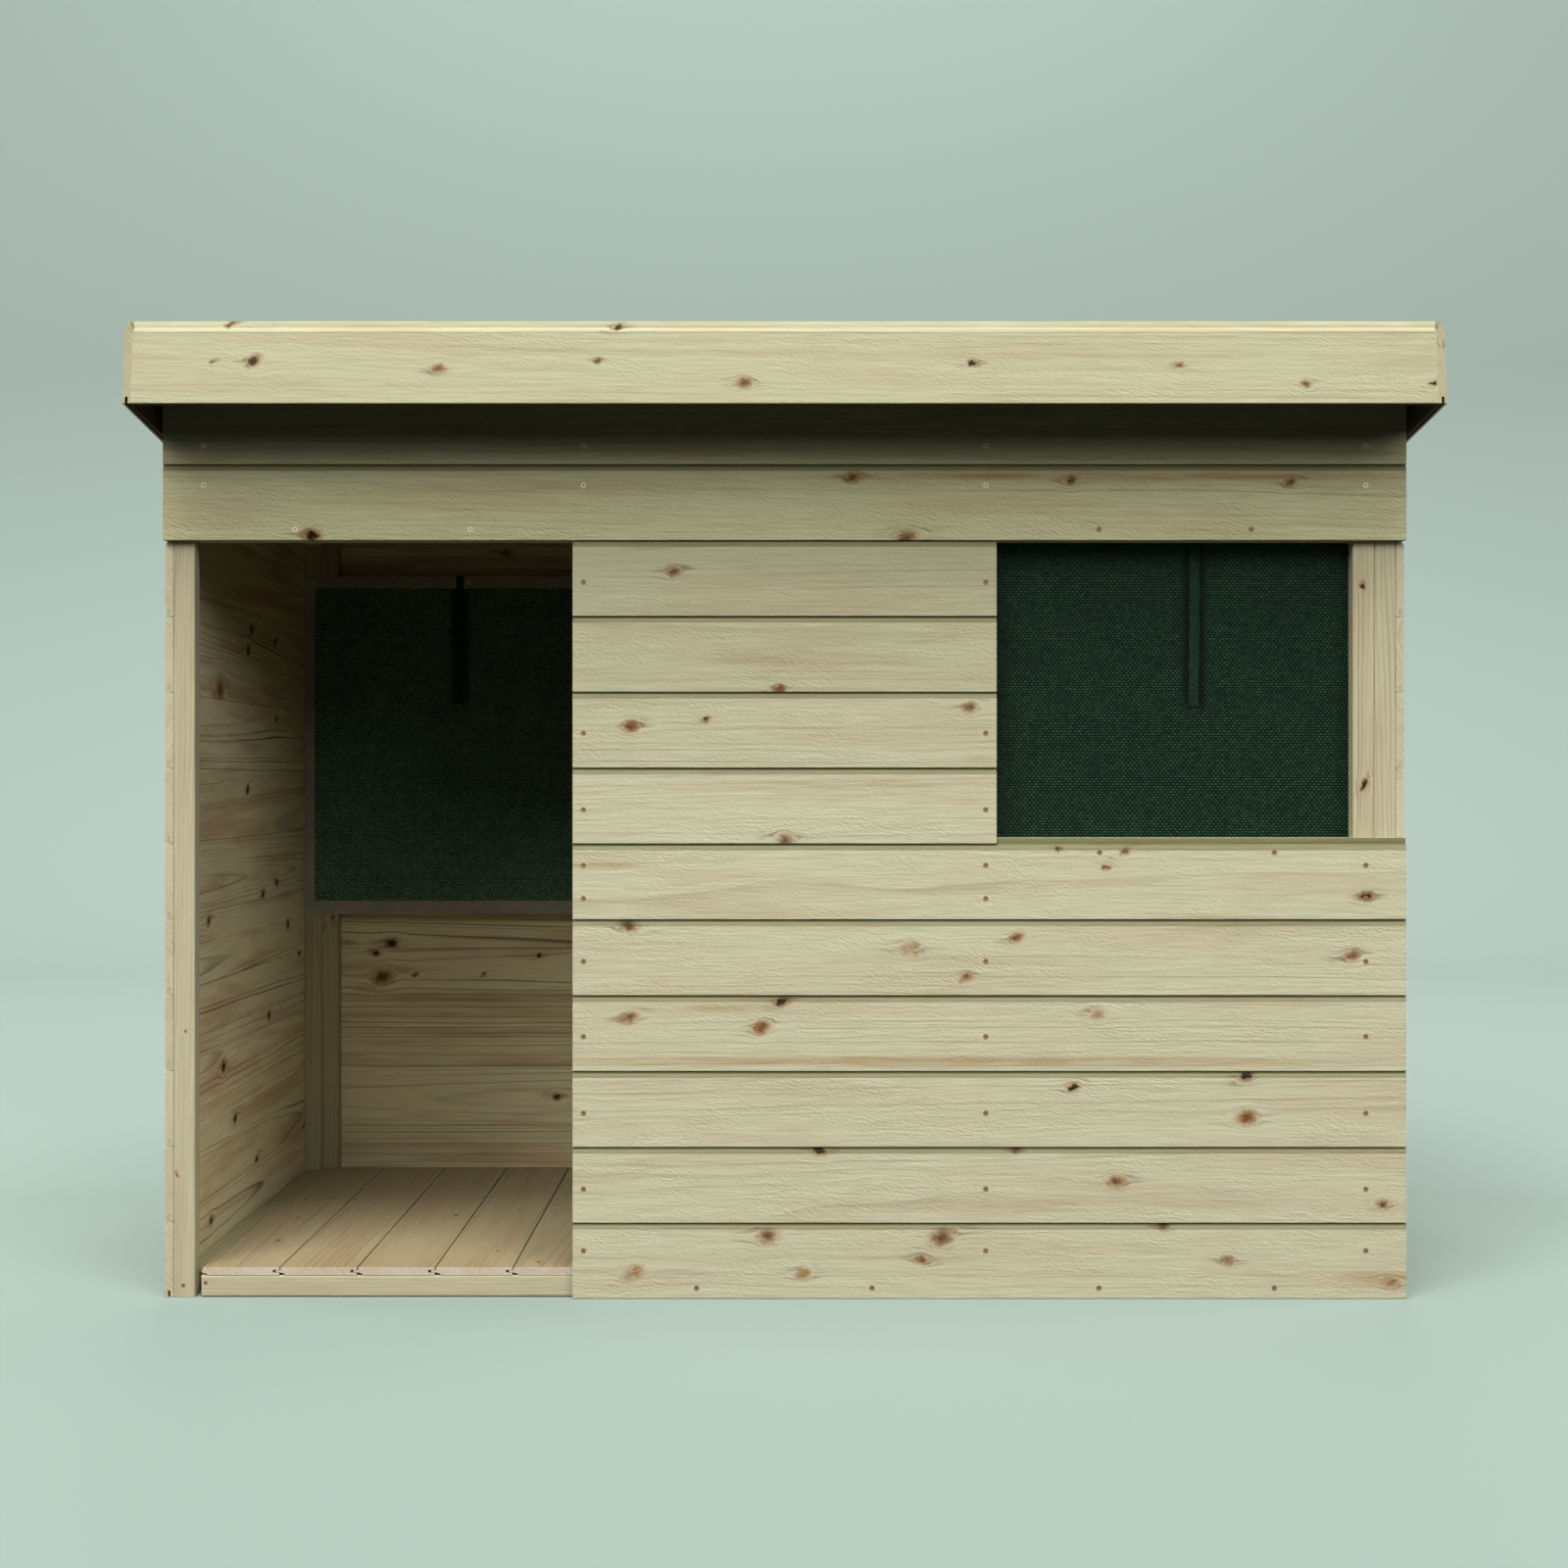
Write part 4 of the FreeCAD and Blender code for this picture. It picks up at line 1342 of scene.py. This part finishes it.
    def strap(self, low: np.ndarray, high: np.ndarray) -> bpy.types.Mesh:
        """Carry a flat webbing section down the strap's hanging line.

        The line leans and bends by a slow sine of the height, and the band twists a little towards its loose end.

        Args:
            low: lowest corner of the strap's space.
            high: its highest corner.

        Returns:
            The mesh with its UV map in metres.
        """
        steps, thick = 48, 1.1 * MM
        wide = (high[0] - low[0]) - 3.5 * MM
        share = np.linspace(0, 1, steps)
        z = high[2] + (low[2] - high[2]) * share
        x = (low[0] + high[0]) / 2 + 1.2 * MM * np.sin(share * 5.0) * share
        y = (low[1] + high[1]) / 2 + np.zeros(steps)
        twist = 0.03 * np.sin(share * 6.0)
        edge, bulge = np.array([-0.5, -0.42, 0.42, 0.5]), np.array([0.2, 0.5, 0.5, 0.2])
        a, b = np.concatenate([edge, edge[::-1]]) * wide, np.concatenate([-bulge, bulge]) * thick
        px = x[:, None] + a * np.cos(twist)[:, None]
        py = y[:, None] + b + a * np.sin(twist)[:, None] * 0.6
        pz = np.broadcast_to(z[:, None], px.shape)
        points = np.stack([px, py, pz], -1).reshape(-1, 3)
        quads, start, end = tube(steps, len(a), flip=True)
        faces = np.roll(quads, 1, axis=1).tolist() + [start.tolist(), end.tolist()]
        return new_mesh(self.strap_node + "_webbing", points, faces, cloth=True)


@dataclass
class Studio:
    """Plain pale floor and backdrop, soft lights, and the camera at the photograph's angle."""

    backdrop: str = "#8c9b93"
    bounce: str = "#101211"
    backdrop_glow: float = 0.06
    floor_drop: float = 0.4 * MM
    camera_place: tuple[float, float, float] = (-0.9 * MM, -3.683, 0.760)
    lens: float = 50.0
    sky: float = 0.006
    sky_seen: float = 1.8
    softboxes: tuple[tuple[str, float, float, tuple[float, float], float], ...] = (
        ("key", -27.0, 43.0, (12.0, 12.5), 2430.0),
        ("top", 0.0, 70.0, (16.0, 6.0), 3000.0),
        ("fill", 36.0, 27.0, (11.0, 9.0), 960.0),
    )
    softbox_far: float = 18.0
    side_lamps: tuple[tuple[str, tuple[float, float, float], float], ...] = (
        ("left", (-13.0, 1.0, 7.5), 882.0),
        ("right", (13.0, 1.0, 7.5), 882.0),
        ("back", (0.0, 6.5, 7.5), 420.0),
    )
    side_size: tuple[float, float] = (6.0, 2.2)
    aim: tuple[float, float, float] = (0.0, -0.4, 0.7)

    def seen(self, graph: Graph) -> bpy.types.NodeSocket:
        """Tell where a surface or the air is looked at, also in gloss or through glass, and where it only lights.

        Args:
            graph: the tree that asks.

        Returns:
            1 where it is looked at and 0 where it lights.
        """
        path = graph.add("LightPath").outputs
        share = path["Is Camera Ray"]
        for ray in ("Is Glossy Ray", "Is Transmission Ray"):
            share = graph.add("Math.MAXIMUM", share, path[ray]).outputs[0]
        return share

    def stage(self) -> None:
        """Carry an L-shaped profile with a round corner across the set, a hair below the ground."""
        half, front, turn, radius, top = 14.0, -12.0, 5.0, 3.0, 9.0
        angle = np.linspace(0, np.pi / 2, 24)
        y = np.concatenate([[front], turn + radius * np.sin(angle), [turn + radius]])
        z = np.concatenate([[0.0], radius - radius * np.cos(angle), [top]]) - self.floor_drop
        x = np.array([-half, half])
        points = np.stack([np.repeat(x, len(y)), np.tile(y, 2), np.tile(z, 2)], 1)
        here = np.arange(len(y) - 1)
        faces = np.stack([here, here + len(y), here + len(y) + 1, here + 1], -1)
        mesh = new_mesh("studio_floor", points, faces.tolist())
        mesh.update()
        mesh.shade_smooth()
        floor = bpy.data.objects.new("studio_floor", mesh)
        bpy.context.scene.collection.objects.link(floor)
        graph = Graph(bpy.data.materials.new("matt_studio_paper"))
        seen = self.seen(graph)
        paint = {0: seen, 6: linear(self.bounce), 7: linear(self.backdrop)}
        paper = {
            "Base Color": graph.add("Mix", paint, data_type="RGBA").outputs[2],
            "Roughness": 0.9,
            "Specular IOR Level": 0.1,
            "Emission Color": linear(self.backdrop),
            "Emission Strength": graph.add("Math.MULTIPLY", seen, self.backdrop_glow),
        }
        graph.feed(graph.shader, paper)
        mesh.materials.append(graph.owner)

    def lamp(self, name: str, spot: tuple[float, ...], size: tuple[float, float], power: float) -> None:
        """Hang one soft rectangular light that faces the house.

        Args:
            name: its name.
            spot: where it hangs.
            size: its width and height.
            power: its power in watts.
        """
        light = bpy.data.lights.new(name, "AREA")
        light.shape = "RECTANGLE"
        light.size, light.size_y = size
        light.energy = power
        lamp = bpy.data.objects.new(name, light)
        bpy.context.scene.collection.objects.link(lamp)
        lamp.location = spot
        lamp.rotation_euler = (Vector(self.aim) - Vector(spot)).to_track_quat("-Z", "Y").to_euler()

    def build(self) -> None:
        """Set the stage, the lights, the air and the camera."""
        self.stage()
        for name, turn, rise, size, power in self.softboxes:
            turn, rise = np.radians(turn), np.radians(rise)
            toward = np.array([np.cos(rise) * np.sin(turn), -np.cos(rise) * np.cos(turn), np.sin(rise)])
            self.lamp(name + "_softbox", tuple(self.softbox_far * toward + self.aim), size, power)
        for name, spot, power in self.side_lamps:
            self.lamp(name + "_softbox", spot, self.side_size, power)
        air = Graph(bpy.data.worlds.new("studio_air"))
        level = air.add("MapRange", self.seen(air), 0.0, 1.0, self.sky, self.sky_seen)
        air.feed(air.shader, {"Color": linear(self.backdrop), "Strength": level})
        bpy.context.scene.world = air.owner
        lens = bpy.data.cameras.new("camera")
        lens.lens, lens.sensor_width, lens.sensor_fit = self.lens, 36.0, "HORIZONTAL"
        camera = bpy.data.objects.new("camera", lens)
        bpy.context.scene.collection.objects.link(camera)
        camera.location = self.camera_place
        camera.rotation_euler = (np.pi / 2, 0.0, 0.0)
        bpy.context.scene.camera = camera
        bpy.context.scene.view_settings.view_transform = "Standard"


def drive_nails(finishes: Finishes) -> None:
    """Nail the cladding to its studs on all four sides, and the inner blind to its rail.

    Args:
        finishes: the materials.
    """
    front, side = corners("front_header_cladding"), corners("right_side_cladding")
    studs = (-858, -297, 297, 858)
    low_rows, rows = (71, 162, 274, 387, 498, 610), (722, 835, 946, 1058)
    header = tuple((x, z) for x in studs for z in (1259, 1201)) + ((-723, 1136), (-464, 1136))
    lower = (
        tuple((x, z) for x in (-297, 297) for z in (1058, 835, 722))
        + tuple((x, z) for x in (-297, 297, 858) for z in (640, 591, 498, 387, 274, 162, 71))
        + ((464, 1136), (689, 1136), (465, 659), (723, 659), (-130, 16), (129, 16), (464, 16), (723, 16))
    )
    back = tuple((x, z) for x in studs for z in (*low_rows, 1180)) + tuple((x, z) for x in studs[:3] for z in rows)
    ends = tuple((x, z) for x in (-442, 442) for z in (*low_rows, *rows, 1170))
    walls = (("front", lower, -front[0][1]), ("right", ends, side[1][0]))
    walls += (("back", back, -front[0][1]), ("left", ends, side[1][0]))
    for quarter, (name, places, out) in enumerate(walls):
        Nails(name + "_nails", places, out, quarter).build(finishes.brown_nail, "cladding_pine")
    Nails("header_nails", header, -front[0][1]).build(finishes.painted_glint_nail, "cladding_pine")
    post = corners("left_front_post")[0][1]
    Nails("post_nails", ((-891, 17), (-858, 21)), -post, radius=3 * MM).build(finishes.brown_nail, "framing_pine")
    hem = corners("back_blind")[0][1] + 0.5 * MM
    Nails("back_blind_nails", ((-890, 1140), (-598, 1140), (-306, 1140)), -hem, radius=2.6 * MM).build(
        finishes.painted_glint_nail, "framing_pine"
    )


def main() -> None:
    """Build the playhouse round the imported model, and report each piece."""
    logging.basicConfig(level=logging.INFO, format="%(name)s %(message)s")
    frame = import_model()
    log.info("packed model: %d nodes", len(frame["nodes"]))
    finishes = Finishes()
    front = ("front_header_cladding", "front_pier_cladding", "front_lower_cladding")
    back = ("back_header_cladding", "back_middle_cladding", "back_lower_cladding")
    BoardWall(Wall.FRONT, front, FRONT_KNOTS, FRONT_STREAKS, seed=1).build(finishes)
    BoardWall(Wall.BACK, back, BACK_KNOTS, BACK_STREAKS, seed=2).build(finishes)
    BoardWall(Wall.LEFT, ("left_side_cladding",), LEFT_KNOTS, seed=3, knot_scale=2.0).build(finishes)
    BoardWall(Wall.RIGHT, ("right_side_cladding",), seed=4).build(finishes)
    Framing().build(finishes)
    Floor().build(finishes)
    Roof().build(finishes)
    Blind("front_blind", "front_blind_strap", room_side=1.0).build(finishes)
    Blind("back_blind", "back_blind_strap", room_side=-1.0).build(finishes)
    drive_nails(finishes)
    Studio().build()


if __name__ == "__main__":
    main()
